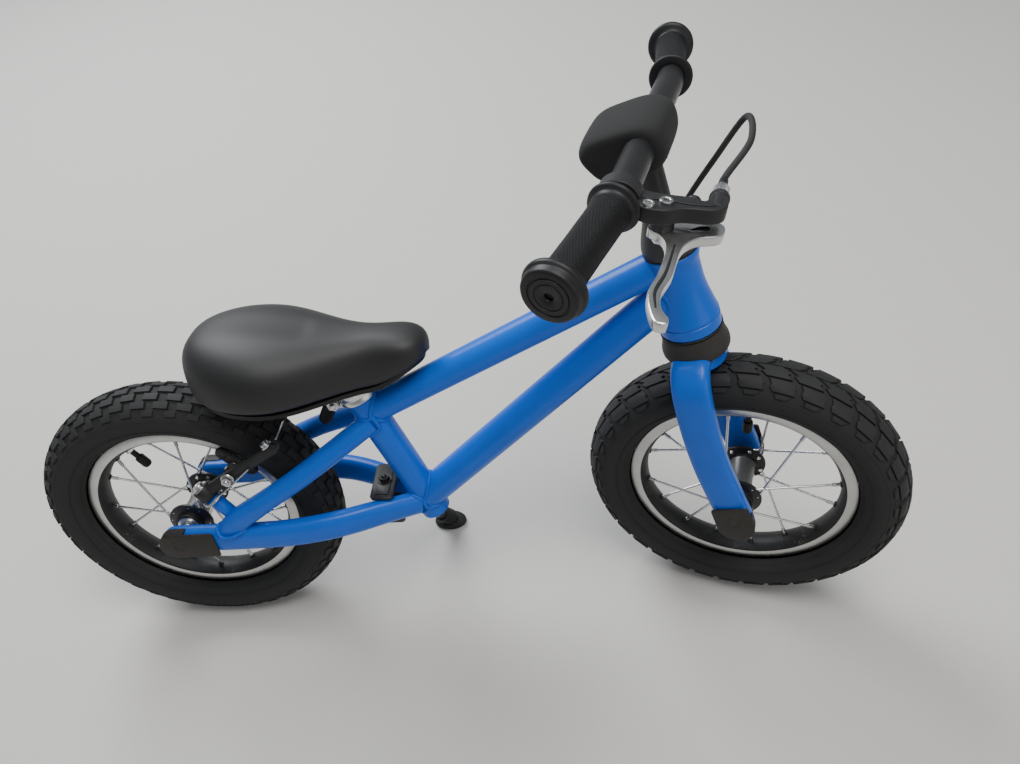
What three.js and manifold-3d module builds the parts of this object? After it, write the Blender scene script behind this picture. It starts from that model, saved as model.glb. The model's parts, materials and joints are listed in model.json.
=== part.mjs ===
// A child's balance bike with two 12 1/2 inch wheels, a V-brake on the rear wheel and a kickstand.
// Millimetres, +X forward, +Y to the rider's left, +Z up. The bike leans on its kickstand with the
// front wheel turned to the right, and stands on two tyres and the stand's foot.
import * as THREE from 'three';
import { mergeVertices } from 'three/addons/utils/BufferGeometryUtils.js';
import Module from 'manifold-3d';

const wasm = await Module();
wasm.setup();

// ---- Driving dimensions ----
const GAP = 0.3; // clearance between touching pieces
const LEAN = 12; // degrees towards the kickstand
const STEER = -18; // degrees, the front wheel's angle as it stands
const WHEELBASE = 556;
const TYRE_RADIUS = 152;
const TYRE_HALF_WIDTH = 28;
const RIM_RADIUS = 107;
const RIM_HALF_WIDTH = 13;
const SPOKES = 16;
const AXLE_RADIUS = 4.9;
const HEAD_ANGLE = 74.5; // degrees from the ground
const FORK_OFFSET = 7;
const FORK_DROP = 1.71; // sets both tyres on the ground
const HEAD_TUBE = { bottom: 193, top: 268, radius: 20.5, flare: 26.5 };
const STEERER_RADIUS = 12.7;
const QUILL_RADIUS = 11.1;
const BAR = { up: 366, forward: 6, half: 205, radius: 11.1, sweep: 17, gripStart: 108 };
const BLADE = { half: 46, width: 33, thickness: 18 };
const SEAT_ANGLE = 71.5; // degrees from the ground
const SEAT_TUBE_RADIUS = 15;
const TOP_TUBE_RADIUS = 14.3;
const DOWN_TUBE_RADIUS = 15.9;
const STAY = { half: 48, height: 30, thickness: 18 };
const SEAT_STAY_RADIUS = 10.5;
const POST_RADIUS = 12.7;
const WALL = 2; // of the frame's tubes
const HOUSING_RADIUS = 2.5; // of the brake cable
const COVER_THICKNESS = 2.2;

const rad = THREE.MathUtils.degToRad;
const v = (x, y, z) => new THREE.Vector3(x, y, z);

// ---- Key points, in the upright bike: the ground is z = 0 and the rear axle is above the origin ----
const rearAxle = v(0, 0, TYRE_RADIUS);
const steerUp = v(-Math.cos(rad(HEAD_ANGLE)), 0, Math.sin(rad(HEAD_ANGLE)));
const steerBase = v(WHEELBASE - FORK_OFFSET / Math.sin(rad(HEAD_ANGLE)), 0, TYRE_RADIUS);
const seatUp = v(-Math.cos(rad(SEAT_ANGLE)), 0, Math.sin(rad(SEAT_ANGLE)));
const seatFoot = v(241, 0, 149);
const forkAxle = v(FORK_OFFSET, 0, -FORK_OFFSET / Math.tan(rad(HEAD_ANGLE)) + FORK_DROP);
const onSeat = (up) => seatFoot.clone().addScaledVector(seatUp, up);

// ---- Materials ----
const paint = (color, roughness, metalness) =>
  new THREE.MeshStandardMaterial({ color, roughness, metalness });
const blue = () => paint(0x0a66c8, 0.35, 0.1);
const black = () => paint(0x141416, 0.45, 0.2);
const rubber = () => paint(0x1a1a1b, 0.85, 0);
const plastic = () => paint(0x231f1d, 0.6, 0);
const steel = () => paint(0xb8b8b4, 0.3, 0.9);
const alloy = () => paint(0xc9c9c6, 0.35, 0.9);
const vinyl = () => paint(0x101010, 0.5, 0);

// ---- Solids ----
// Returns a copy of the geometry with shared vertices, no flat triangles and its faces pointing out.
function weld(geometry) {
  const bare = geometry.index ? geometry.toNonIndexed() : geometry.clone();
  bare.deleteAttribute('normal');
  bare.deleteAttribute('uv');
  const merged = mergeVertices(bare, 1e-4);
  const place = merged.attributes.position;
  const index = merged.index.array;
  const kept = [];
  let volume = 0;
  for (let i = 0; i < index.length; i += 3) {
    const [a, b, c] = [index[i], index[i + 1], index[i + 2]];
    if (a === b || b === c || c === a) continue;
    kept.push(a, b, c);
    const [p, q, r] = [a, b, c].map((k) => new THREE.Vector3().fromBufferAttribute(place, k));
    volume += p.dot(q.cross(r));
  }
  if (volume < 0) kept.reverse();
  merged.setIndex(kept);
  return merged;
}

function toSolid(geometry) {
  const merged = geometry.userData.whole ? geometry : weld(geometry);
  const vertProperties = new Float32Array(merged.attributes.position.array);
  const triVerts = new Uint32Array(merged.index.array);
  return new wasm.Manifold(new wasm.Mesh({ numProp: 3, vertProperties, triVerts }));
}

function toGeometry(solid) {
  const mesh = solid.getMesh();
  const geometry = new THREE.BufferGeometry();
  geometry.setAttribute('position', new THREE.BufferAttribute(mesh.vertProperties, 3));
  geometry.setIndex(new THREE.BufferAttribute(mesh.triVerts, 1));
  geometry.computeVertexNormals();
  geometry.userData.whole = true;
  return geometry;
}

const join = (first, ...rest) =>
  toGeometry(rest.reduce((whole, part) => whole.add(toSolid(part)), toSolid(first)));
const cut = (first, ...tools) =>
  toGeometry(tools.reduce((whole, tool) => whole.subtract(toSolid(tool)), toSolid(first)));
const keep = (first, tool) => toGeometry(toSolid(first).intersect(toSolid(tool)));

// ---- Shapes ----
function box(x, y, z, at) {
  return new THREE.BoxGeometry(x, y, z).translate(at.x, at.y, at.z);
}

// Turns a geometry made about +Y so that it runs along a direction from a point.
function aim(geometry, from, direction) {
  const turn = new THREE.Quaternion().setFromUnitVectors(v(0, 1, 0), direction.clone().normalize());
  return geometry.applyQuaternion(turn).translate(from.x, from.y, from.z);
}

function rod(from, to, radius, sides = 12) {
  const length = from.distanceTo(to);
  const shape = new THREE.CylinderGeometry(radius, radius, length, sides).translate(0, length / 2, 0);
  return aim(shape, from, to.clone().sub(from));
}

// A turned solid about +Y, from [radius, height] pairs that start and end on the axis or close up.
function turned(pairs, sides, closed = false) {
  const points = pairs.map(([radius, height]) => new THREE.Vector2(radius, height));
  if (closed) points.push(points[0].clone());
  return new THREE.LatheGeometry(points, sides);
}

const turnedUp = (pairs, sides, closed) => turned(pairs, sides, closed).rotateX(Math.PI / 2);

// A rounded section: power 2 is an ellipse, and a higher power is squarer.
function section(width, height, sides, power = 2) {
  const outline = Array.from({ length: sides }, (_, i) => {
    const angle = (2 * Math.PI * (i + 0.5)) / sides;
    const [c, s] = [Math.cos(angle), Math.sin(angle)];
    const x = Math.sign(c) * Math.abs(c) ** (2 / power) * (width / 2);
    const y = Math.sign(s) * Math.abs(s) ** (2 / power) * (height / 2);
    return new THREE.Vector2(x, y);
  });
  return new THREE.Shape(outline);
}

// A section swept along a smooth curve through points. The section's width lies across the curve's plane.
function swept(points, shape, steps) {
  const path = new THREE.CatmullRomCurve3(points, false, 'centripetal');
  return new THREE.ExtrudeGeometry(shape, { steps, extrudePath: path });
}

// A plate in the XZ plane, thick along Y, centred at a height along Y.
function plate(shape, thickness, y) {
  const settings = { depth: thickness, bevelEnabled: false, curveSegments: 6 };
  const flat = new THREE.ExtrudeGeometry(shape, settings).translate(0, 0, -thickness / 2);
  return flat.rotateX(Math.PI / 2).translate(0, y, 0);
}

// A straight tube with open ends.
function straightTube(from, to, radius, wall = WALL, sides = 16) {
  const length = from.distanceTo(to);
  const inner = radius - wall;
  const pairs = [[inner, 0], [radius, 0], [radius, length], [inner, length]];
  return aim(turned(pairs, sides, true), from, to.clone().sub(from));
}

const bike = new THREE.Group(); // the whole part, on the ground
const leaned = new THREE.Group(); // the upright bike, leaned on its stand
leaned.rotation.x = -rad(LEAN);
bike.add(leaned);
const head = new THREE.Group(); // +Z is the steering axis, +X is forward
head.position.copy(steerBase);
head.rotation.y = -rad(90 - HEAD_ANGLE);
leaned.add(head);
const steered = new THREE.Group(); // the fork, turned from straight ahead
steered.rotation.z = rad(STEER);
head.add(steered);

function add(parent, name, geometry, material) {
  const mesh = new THREE.Mesh(toGeometry(toSolid(geometry)), material);
  mesh.name = name;
  parent.add(mesh);
  return mesh;
}

// ---- Wheels, about the Y axis of their group ----
function tyre() {
  const flip = (pairs) => pairs.slice().reverse().map(([r, y]) => [r, -y]);
  const outside = [[101.9, 10.2], [107.6, 10.4], [117, 24], [128, TYRE_HALF_WIDTH], [140, 25.5],
    [148.8, 15], [TYRE_RADIUS, 5]];
  const inside = [[144, 13], [128, 24.2], [113.5, 15], [101.9, 6.4]];
  return turned([...outside, ...flip(outside), ...flip(inside), ...inside], 24, true);
}

function innerTube() {
  const [centre, outer, wall, slit] = [127, 14.6, 1.5, 6];
  const arc = (radius, from, to) =>
    Array.from({ length: 6 }, (_, i) => {
      const angle = rad(from + ((to - from) * i) / 5);
      return [centre - radius * Math.cos(angle), radius * Math.sin(angle)];
    });
  const wallOutside = arc(outer, slit, 360 - slit);
  const wallInside = arc(outer - wall, 360 - slit, slit);
  const ring = turned([...wallOutside, ...wallInside], 16, true);
  const valve = rod(v(0, 0, -112.6), v(0, 0, -74), 2.9, 8);
  const cap = rod(v(0, 0, -80), v(0, 0, -66), 4.1, 8);
  return join(ring, valve, cap);
}

function rim() {
  const half = RIM_HALF_WIDTH;
  const side = [[RIM_RADIUS, half], [96.5, half], [92, 4]];
  const well = [[98.4, 4], [101.4, half - 2.4], [RIM_RADIUS, half - 2]];
  const flip = (pairs) => pairs.slice().reverse().map(([r, y]) => [r, -y]);
  const ring = turned([...side, ...flip(side), ...flip(well), ...well], 24, true);
  return cut(ring, rod(v(0, 0, -120), v(0, 0, -80), 4.4, 10));
}

// The hub's shell with its two flanges and all its spokes.
function hub() {
  const shell = turned(
    [[5.3, -24.2], [11.4, -24.2], [11.4, -31], [14, -31], [22, -25], [22, -21], [12.5, -20],
      [12.5, 20], [22, 21], [22, 25], [14, 31], [11.4, 31], [11.4, 24.2], [5.3, 24.2]], 12, true);
  const spokes = Array.from({ length: SPOKES }, (_, i) => {
    const side = i % 2 ? 1 : -1;
    const lean = i % 4 < 2 ? 1 : -1;
    const rimAngle = rad((360 * (i + 0.5)) / SPOKES);
    const hubAngle = rimAngle + rad(40 * lean);
    const start = v(Math.sin(hubAngle) * 18.5, side * 22.6, -Math.cos(hubAngle) * 18.5);
    const end = v(Math.sin(rimAngle) * 90.8, side * 3, -Math.cos(rimAngle) * 90.8);
    return rod(start, end, 1.3, 3);
  });
  return join(shell, ...spokes);
}

const bearing = (inner, outer, width) =>
  turned([[inner, 0], [outer, 0], [outer, width], [inner, width]], 12, true);

// A wheel's tyre, tube, rim, hub and two bearings, with the valve turned to an angle.
function addWheel(parent, prefix, axle, valveAngle) {
  const wheel = new THREE.Group();
  wheel.position.copy(axle);
  wheel.rotation.y = rad(valveAngle);
  parent.add(wheel);
  add(wheel, `${prefix}_tyre`, tyre(), rubber());
  add(wheel, `${prefix}_inner_tube`, innerTube(), rubber());
  add(wheel, `${prefix}_rim`, rim(), alloy());
  add(wheel, `${prefix}_hub`, hub(), black());
  for (const [side, y] of [['left', 24.5], ['right', -30.7]]) {
    const ring = bearing(AXLE_RADIUS + 0.2, 11.1, 6.2).translate(0, y, 0);
    add(wheel, `${prefix}_bearing_${side}`, ring, steel());
  }
}

// An axle with the spacers that set the hub between two ends, as far as half its length.
function axle(half, spacerEnd) {
  const shaft = rod(v(0, -half, 0), v(0, half, 0), AXLE_RADIUS, 16);
  const spacers = [-1, 1].map((side) => rod(v(0, 31.3 * side, 0), v(0, spacerEnd * side, 0), 8.2, 12));
  return join(shaft, ...spacers);
}

addWheel(leaned, 'rear', rearAxle, 150);
addWheel(steered, 'front', forkAxle, -165);

// ---- Frame ----
const seatCutter = (radius) => rod(onSeat(-60), onSeat(220), radius + GAP, 24);
const downStart = v(243, 0, 153);
const downEnd = v(486, 0, 378);
const topStart = onSeat(121);
const topEnd = v(478, 0, 401.5);

function headTube() {
  const { bottom, top, radius, flare } = HEAD_TUBE;
  return turnedUp(
    [[flare, bottom], [flare, bottom + 13], [flare - 3.2, bottom + 27], [radius, bottom + 46],
      [radius, top - 9], [22.5, top - 4], [22.5, top], [18.6, top], [18.6, top - 8], [15.5, top - 8],
      [15.5, bottom + 9], [22.2, bottom + 9], [22.2, bottom]], 20, true);
}

// The head tube's outer shape, a little larger all round.
function headCutter() {
  const { bottom, top, radius, flare } = HEAD_TUBE;
  const pairs = [[0, bottom - 2], [flare + GAP, bottom - 2], [flare + GAP, bottom + 13.2],
    [flare - 3.2 + GAP, bottom + 27.3], [radius + GAP, bottom + 46.3], [radius + GAP, top - 9.2],
    [22.5 + GAP, top - 4.2], [22.5 + GAP, top + 30], [0, top + 30]];
  return aim(turned(pairs, 24), steerBase, steerUp);
}

function downTube() {
  const tube = straightTube(downStart, downEnd, DOWN_TUBE_RADIUS);
  return cut(tube, headCutter(), seatCutter(SEAT_TUBE_RADIUS));
}

function topTube() {
  const tube = straightTube(topStart, topEnd, TOP_TUBE_RADIUS);
  const downCutter = rod(downStart, v(540, 0, 428), DOWN_TUBE_RADIUS + GAP, 24);
  return cut(tube, headCutter(), seatCutter(SEAT_TUBE_RADIUS), downCutter);
}

const seatTubeTop = 152;
const seatTube = () => straightTube(onSeat(-19), onSeat(seatTubeTop), SEAT_TUBE_RADIUS, 1.9, 20);

// A point on one side of the bike.
const sided = (side) => (x, y, z) => v(x, side * y, z);

// Keeps the part of a geometry on one side of the bike's middle plane.
const halfSpace = (side) => box(1200, 200, 900, v(200, side * (100 + GAP / 2), 300));

function chainStay(side) {
  const at = sided(side);
  const points = [at(-4, STAY.half, 152), at(60, STAY.half, 152), at(112, 47.5, 153.5),
    at(155, 41, 155), at(200, 24, 153), at(246, 6, 147)];
  const tube = swept(points, section(STAY.thickness, STAY.height, 12, 2.6), 8);
  const end = rod(at(-4, STAY.half - 9, 152), at(-4, STAY.half + 9, 152), STAY.height / 2, 16);
  const stay = keep(join(tube, end), halfSpace(side));
  const axleHole = rod(v(0, -80, 152), v(0, 80, 152), AXLE_RADIUS + 0.4, 16);
  return cut(stay, seatCutter(SEAT_TUBE_RADIUS), axleHole,
    rod(downStart, downEnd, DOWN_TUBE_RADIUS + GAP, 24));
}

// The brake's pivots stand on the seat stays, square to them.
const stayAlong = v(0.86, 0, 0.51).normalize();
const stayNormal = v(-stayAlong.z, 0, stayAlong.x);
const pivotPlace = (side) => v(40, side * 43, 209);

function seatStay(side) {
  const at = sided(side);
  const points = [at(46, 47.5, 164), at(62, 47.5, 175), at(92, 45.5, 193.5), at(133, 38, 217.5),
    at(174, 22.5, 240.5), at(208, 7, 258)];
  const round = section(2 * SEAT_STAY_RADIUS, 2 * SEAT_STAY_RADIUS, 10);
  const tube = swept(points, round, 8);
  const boss = rod(pivotPlace(side).addScaledVector(stayNormal, -36),
    pivotPlace(side).addScaledVector(stayNormal, -7), 7, 12);
  const pin = rod(pivotPlace(side).addScaledVector(stayNormal, -12),
    pivotPlace(side).addScaledVector(stayNormal, 7), 4, 12);
  const stay = keep(join(tube, boss, pin), halfSpace(side));
  return cut(stay, chainStayCutter(side), seatCutter(SEAT_TUBE_RADIUS),
    rod(topStart, topEnd, TOP_TUBE_RADIUS + GAP, 24));
}

function chainStayCutter(side) {
  const at = sided(side);
  const points = [at(-4, STAY.half, 152), at(60, STAY.half, 152), at(112, 47.5, 153.5), at(155, 41, 155)];
  return swept(points, section(STAY.thickness + 2 * GAP, STAY.height + 2 * GAP, 12, 2.6), 9);
}

// A capsule-shaped cover over a dropout, from one end to the other, in the XZ plane.
function cover(from, to, halfWidth, y, hole) {
  const along = to.clone().sub(from);
  const angle = Math.atan2(along.z, along.x);
  const shape = new THREE.Shape();
  shape.absarc(from.x, from.z, halfWidth, angle + Math.PI / 2, angle + 1.5 * Math.PI, false);
  const corner = (s, c) => new THREE.Vector2(
    to.x + halfWidth * (Math.cos(angle) * c - Math.sin(angle) * s),
    to.z + halfWidth * (Math.sin(angle) * c + Math.cos(angle) * s));
  const ends = [corner(-1, 0), corner(1, 0)];
  shape.lineTo(ends[0].x, ends[0].y);
  shape.lineTo(ends[1].x, ends[1].y);
  shape.closePath();
  const drill = rod(v(hole.x, y - 9, hole.z), v(hole.x, y + 9, hole.z), 2.2, 10);
  return cut(plate(shape, COVER_THICKNESS, y), drill);
}

add(head, 'head_tube', headTube(), blue());
add(leaned, 'down_tube', downTube(), blue());
add(leaned, 'top_tube', topTube(), blue());
add(leaned, 'seat_tube', seatTube(), blue());
for (const [name, side] of [['left', 1], ['right', -1]]) {
  add(leaned, `chain_stay_${name}`, chainStay(side), blue());
  add(leaned, `seat_stay_${name}`, seatStay(side), blue());
}

for (const [name, side] of [['left', 1], ['right', -1]]) {
  const y = side * (STAY.half + STAY.thickness / 2 + GAP + COVER_THICKNESS / 2);
  const shell = cover(v(-3, 0, TYRE_RADIUS), v(38, 0, TYRE_RADIUS), 14, y, v(16, 0, TYRE_RADIUS));
  add(leaned, `dropout_cover_${name}`, shell, plastic());
}
add(leaned, 'rear_axle', axle(55, 38).translate(0, 0, TYRE_RADIUS), steel());

// ---- Headset and fork, in the head's frame: +X forward, +Z up the steering axis ----
const headTop = HEAD_TUBE.top;
const lowerBearing = bearing(STEERER_RADIUS + 0.5, 21.9, 8).rotateX(Math.PI / 2);
add(head, 'lower_head_bearing', lowerBearing.translate(0, 0, HEAD_TUBE.bottom + 0.4), steel());
const upperBearing = bearing(STEERER_RADIUS + 0.5, 18.3, 7).rotateX(Math.PI / 2);
add(head, 'upper_head_bearing', upperBearing.translate(0, 0, headTop - 7.4), steel());

function headsetCap() {
  const bore = QUILL_RADIUS + 0.4;
  return turnedUp(
    [[STEERER_RADIUS + GAP, headTop + GAP], [22.5, headTop + GAP], [22.5, headTop + 6], [21, headTop + 15],
      [17, headTop + 28], [13.4, headTop + 40], [bore, headTop + 40], [bore, headTop + 6],
      [STEERER_RADIUS + GAP, headTop + 6]], 24, true);
}

function steerer() {
  const bore = QUILL_RADIUS + 0.4;
  return turnedUp(
    [[0, 155], [22, 155], [24, 158], [24, 171.7], [STEERER_RADIUS, 171.7], [STEERER_RADIUS, headTop + 5],
      [bore, headTop + 5], [bore, 178], [0, 178]], 24);
}

function crownBumper() {
  return turnedUp(
    [[13, 172], [25.5, 172], [27.3, 180], [26.8, HEAD_TUBE.bottom - GAP], [13, HEAD_TUBE.bottom - GAP]],
    24, true);
}

function forkLeg(side) {
  const { half, width, thickness } = BLADE;
  const at = sided(side);
  const points = [at(-2, 16, 166), at(-2, 31, 166), at(-2, 43, 154), at(-3, half, 118),
    at(-2, half, 70), at(2, half, 30), at(forkAxle.x, half, forkAxle.z)];
  const blade = swept(points, section(width, thickness, 12, 3), 9);
  const tip = rod(v(forkAxle.x, side * (half - thickness / 2), forkAxle.z - 7),
    v(forkAxle.x, side * (half + thickness / 2), forkAxle.z - 7), width / 2, 20);
  const axleHole = rod(v(forkAxle.x, -80, forkAxle.z), v(forkAxle.x, 80, forkAxle.z), AXLE_RADIUS + 0.4, 16);
  const crown = turnedUp([[0, 150], [24 + GAP, 150], [24 + GAP, 172 - GAP], [27.6, 172 - GAP], [27.6, 200],
    [0, 200]], 24);
  return cut(join(blade, tip), axleHole, crown);
}

add(steered, 'headset_cap', headsetCap(), plastic());
add(steered, 'fork_steerer', steerer(), black());
add(steered, 'crown_bumper', crownBumper(), plastic());
for (const [name, side] of [['left', 1], ['right', -1]]) {
  add(steered, `fork_leg_${name}`, forkLeg(side), blue());
  const y = side * (BLADE.half + BLADE.thickness / 2 + GAP + COVER_THICKNESS / 2);
  const low = v(forkAxle.x, 0, forkAxle.z - 7);
  const high = v(forkAxle.x - 1.5, 0, forkAxle.z + 15);
  add(steered, `fork_cover_${name}`, cover(low, high, BLADE.width / 2 - 0.5, y, forkAxle), plastic());
}
add(steered, 'front_axle', axle(53, 36.7).translate(forkAxle.x, 0, forkAxle.z), steel());

// ---- Cockpit ----
const barBend = 104;
const barAt = (y) => {
  const past = Math.max(0, Math.abs(y) - barBend);
  return v(BAR.forward - (BAR.sweep * past) / (BAR.half - barBend), y, BAR.up);
};
const stemTop = BAR.up - 12;

function stem() {
  const quill = rod(v(0, 0, 190), v(0, 0, stemTop), QUILL_RADIUS, 20);
  const clamp = rod(v(BAR.forward, -19, BAR.up), v(BAR.forward, 19, BAR.up), 16, 20);
  const barHole = rod(v(BAR.forward, -40, BAR.up), v(BAR.forward, 40, BAR.up), BAR.radius + GAP, 20);
  return cut(join(quill, clamp), barHole, rod(v(0, 0, 180), v(0, 0, 342), 4.8, 12));
}

function stemExpander() {
  const wedge = rod(v(0, 0, 178.4), v(0, 0, 189.6), QUILL_RADIUS - 0.1, 16);
  return join(wedge, rod(v(0, 0, 180), v(0, 0, 336), 4, 12));
}

function handlebar() {
  const tubes = (radius, half) => [
    rod(barAt(-barBend), barAt(barBend), radius, 14),
    rod(barAt(barBend - 1), barAt(half), radius, 14),
    rod(barAt(1 - barBend), barAt(-half), radius, 14),
  ];
  const [outer, ...rest] = tubes(BAR.radius, BAR.half - 4);
  return cut(join(outer, ...rest), ...tubes(BAR.radius - 1.6, BAR.half + 6));
}

function grip(side) {
  const start = barAt(side * BAR.gripStart);
  const end = barAt(side * BAR.half);
  const length = start.distanceTo(end);
  const bore = BAR.radius + GAP;
  const pairs = [[0, length - 3], [bore, length - 3], [bore, 0], [17.5, 0], [18, 2.5], [13.6, 6],
    [13, length * 0.5], [13.4, length - 13], [20, length - 10], [20.4, length - 6.5], [18.2, length - 5],
    [18.2, length], [0, length]];
  return aim(turned(pairs, 18), start, end.sub(start));
}

function stemPad() {
  const outline = [[21, 349], [24, 366], [19, 377], [2, 379], [-34, 375], [-40, 368], [-33, 349], [-26, 345],
    [14, 345]];
  const shape = new THREE.Shape(outline.map(([x, z]) => new THREE.Vector2(x, -z)));
  const settings = { depth: 54, bevelEnabled: true, bevelThickness: 6, bevelSize: 3, bevelSegments: 2 };
  const block = new THREE.ExtrudeGeometry(shape, settings).translate(0, 0, -27).rotateX(-Math.PI / 2);
  const clamp = rod(v(BAR.forward, -19.8, BAR.up), v(BAR.forward, 19.8, BAR.up), 16.6, 20);
  const bar = rod(v(BAR.forward, -60, BAR.up), v(BAR.forward, 60, BAR.up), BAR.radius + 0.4, 20);
  return cut(block, clamp, bar, rod(v(0, 0, 300), v(0, 0, stemTop), QUILL_RADIUS + 0.5, 20));
}

add(steered, 'stem', stem(), black());
add(steered, 'stem_expander', stemExpander(), steel());
add(steered, 'handlebar', handlebar(), black());
add(steered, 'stem_pad', stemPad(), rubber());
add(steered, 'grip_left', grip(1), rubber());
add(steered, 'grip_right', grip(-1), rubber());

// ---- Brake lever, in a plane through the bar that tips forward and down ----
const LEVER_TIP_DOWN = 24; // degrees
const lever = new THREE.Group();
lever.position.set(BAR.forward, 0, BAR.up);
lever.rotation.y = rad(LEVER_TIP_DOWN);
steered.add(lever);
const leverPivot = v(30, -101, 0);
const barrelSeat = v(61, -78, 0);

// A flat piece in the lever's plane, with rounded corners from its own curve.
function slab(outline, thickness, middle) {
  const curve = new THREE.CatmullRomCurve3(outline.map(([x, y]) => v(x, y, 0)), true, 'centripetal');
  const shape = new THREE.Shape(curve.getPoints(28).slice(0, -1).map((p) => new THREE.Vector2(p.x, p.y)));
  const settings = { depth: thickness, bevelEnabled: false };
  return new THREE.ExtrudeGeometry(shape, settings).translate(0, 0, middle - thickness / 2);
}

function leverBracket() {
  const clamp = rod(v(0, -104, 0), v(0, -91, 0), 15.5, 20);
  const arm = slab([[8, -104], [8, -91], [26, -90], [44, -88], [54, -90], [57, -77], [65, -77], [67, -92],
    [60, -99], [40, -104], [30, -111], [18, -110]], 11, 0);
  const seat = rod(barrelSeat.clone().setY(-92), barrelSeat.clone().setY(-72.2), 6.2, 12);
  const pin = rod(leverPivot.clone().setZ(-23), leverPivot.clone().setZ(6), 3, 10);
  const bar = rod(v(0, -120, 0), v(0, -80, 0), BAR.radius + 0.8, 20);
  return cut(join(clamp, arm, seat, pin), bar, rod(v(61, -82, 0), v(61, -60, 0), 3.4, 12));
}

function leverBlade() {
  const body = slab([[22, -104], [26, -93], [42, -90], [60, -81], [69, -84], [68, -97], [53, -106],
    [46, -117], [45, -150], [42, -171], [46, -185], [50, -193], [45, -198], [38, -187], [34, -172],
    [37, -150], [35, -117]], 7.5, -16);
  const hole = rod(leverPivot.clone().setZ(-30), leverPivot.clone().setZ(30), 3.4, 12);
  const eye = slab([[48, -98], [53, -89], [61, -89], [59, -96]], 20, -16);
  return cut(body, hole, eye);
}

function barrelAdjuster() {
  const knob = rod(v(61, -71.6, 0), v(61, -62, 0), 5.6, 16);
  const thread = rod(v(61, -81, 0), v(61, -71, 0), 3, 12);
  return join(knob, thread, rod(v(61, -62.5, 0), v(61, -58, 0), 3.8, 12));
}

add(lever, 'lever_bracket', leverBracket(), black());
add(lever, 'lever_blade', leverBlade(), alloy());
add(lever, 'barrel_adjuster', barrelAdjuster(), steel());

// ---- V-brake, in a frame on the seat stays: +X along the stays, +Z square to them ----
const brake = new THREE.Group();
brake.position.set(pivotPlace(0).x, 0, pivotPlace(0).z);
brake.rotation.y = -Math.atan2(stayAlong.z, stayAlong.x);
leaned.add(brake);
const padAlong = 31.8;
const padTurn = rad(-16.7);
const armEnd = 94;
const ARM_TRAVEL = 2.5; // degrees, from open to the rim

function brakeArm(side) {
  const at = sided(side);
  const body = swept([at(0, 43, 0), at(28, 40.3, 0), at(62, 38.6, 0), at(armEnd, 36, 0)],
    section(12, 8.6, 10, 4), 6);
  const boss = rod(at(0, 43, -6.4), at(0, 43, 6.4), 9, 16);
  const pivotHole = rod(at(0, 43, -20), at(0, 43, 20), 4.4, 12);
  const padHole = rod(at(padAlong, 20, 0), at(padAlong, 60, 0), 3.5, 10);
  const wireHole = rod(at(88, 20, 0), at(88, 60, 0), HOUSING_RADIUS + 0.5, 10);
  return cut(join(body, boss), pivotHole, padHole, wireHole);
}

// A pad that lies flat against the rim once its arm has closed.
function brakePad(side) {
  const at = sided(side);
  const inside = RIM_HALF_WIDTH + GAP + 4.7;
  const block = new THREE.BoxGeometry(9, 9.4, 44).rotateY(padTurn)
    .translate(padAlong, side * (inside - 43), 0).rotateZ(side * rad(ARM_TRAVEL))
    .translate(0, side * 43, 0);
  const post = rod(at(padAlong, 23, 0), at(padAlong, 46, 0), 3, 10);
  return join(block, post, rod(at(padAlong, 45.2, 0), at(padAlong, 49, 0), 5.5, 6));
}

for (const [name, side] of [['left', 1], ['right', -1]]) {
  add(brake, `brake_arm_${name}`, brakeArm(side), black());
  add(brake, `brake_pad_${name}`, brakePad(side), rubber());
}

// The bent pipe that leads the cable into the left arm, with the bare wire as far as the right arm.
function noodle() {
  const pipe = swept([v(88, 27, 0), v(88, 41, 0), v(90, 48, 0), v(98, 51, 0), v(108, 51, 0)],
    section(2 * HOUSING_RADIUS, 2 * HOUSING_RADIUS, 8), 10);
  return join(pipe, rod(v(88, -24, 0), v(88, 28, 0), 0.9, 6));
}

add(brake, 'brake_noodle', noodle(), steel());

// ---- Brake cable: a loop from the lever to the frame, then a run along the top tube ----
const turnSteered = (p) => p.applyAxisAngle(v(0, 0, 1), rad(STEER));
lever.updateMatrix();
const fromLever = (p) => turnSteered(p.applyMatrix4(lever.matrix));
const housing = section(2 * HOUSING_RADIUS, 2 * HOUSING_RADIUS, 8);
const clipPlace = v(-2, 29, 262);
const loopReturn = v(22, 29, 290);

function cableLoop() {
  const route = [fromLever(v(61, -57.7, 0)), fromLever(v(61, -46, 0)), fromLever(v(72, -8, 12)),
    v(77, 12, 348), v(50, 22, 320), loopReturn, clipPlace];
  return swept(route, housing, 22);
}

head.updateMatrix();
const fromHead = (p) => p.clone().applyMatrix4(head.matrix);
brake.updateMatrix();
const fromBrake = (p) => p.applyMatrix4(brake.matrix);
const topSide = (share, y, lower) => topStart.clone().lerp(topEnd, share).add(v(0, y, -lower));

function rearCable() {
  const start = fromHead(clipPlace);
  const onward = start.clone().sub(fromHead(loopReturn)).normalize();
  const route = [start.clone().addScaledVector(onward, GAP), start.clone().addScaledVector(onward, 9),
    topSide(0.8, 17.8, 4), topSide(0.45, 17.6, 4), topSide(0.12, 18.4, 4), v(196, 27, 268), v(168, 43, 272),
    fromBrake(v(124, 50.8, 1)), fromBrake(v(108.5, 51, 0))];
  return swept(route, housing, 28);
}

add(head, 'brake_cable_loop', cableLoop(), rubber());
add(leaned, 'brake_cable_rear', rearCable(), rubber());

// ---- Seat ----
const collarLow = 140.3;
const collarHigh = 151.8;
const seatBack = v(-Math.sin(rad(SEAT_ANGLE)), 0, -Math.cos(rad(SEAT_ANGLE)));
const ear = onSeat((collarLow + collarHigh) / 2).addScaledVector(seatBack, 22);

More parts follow.
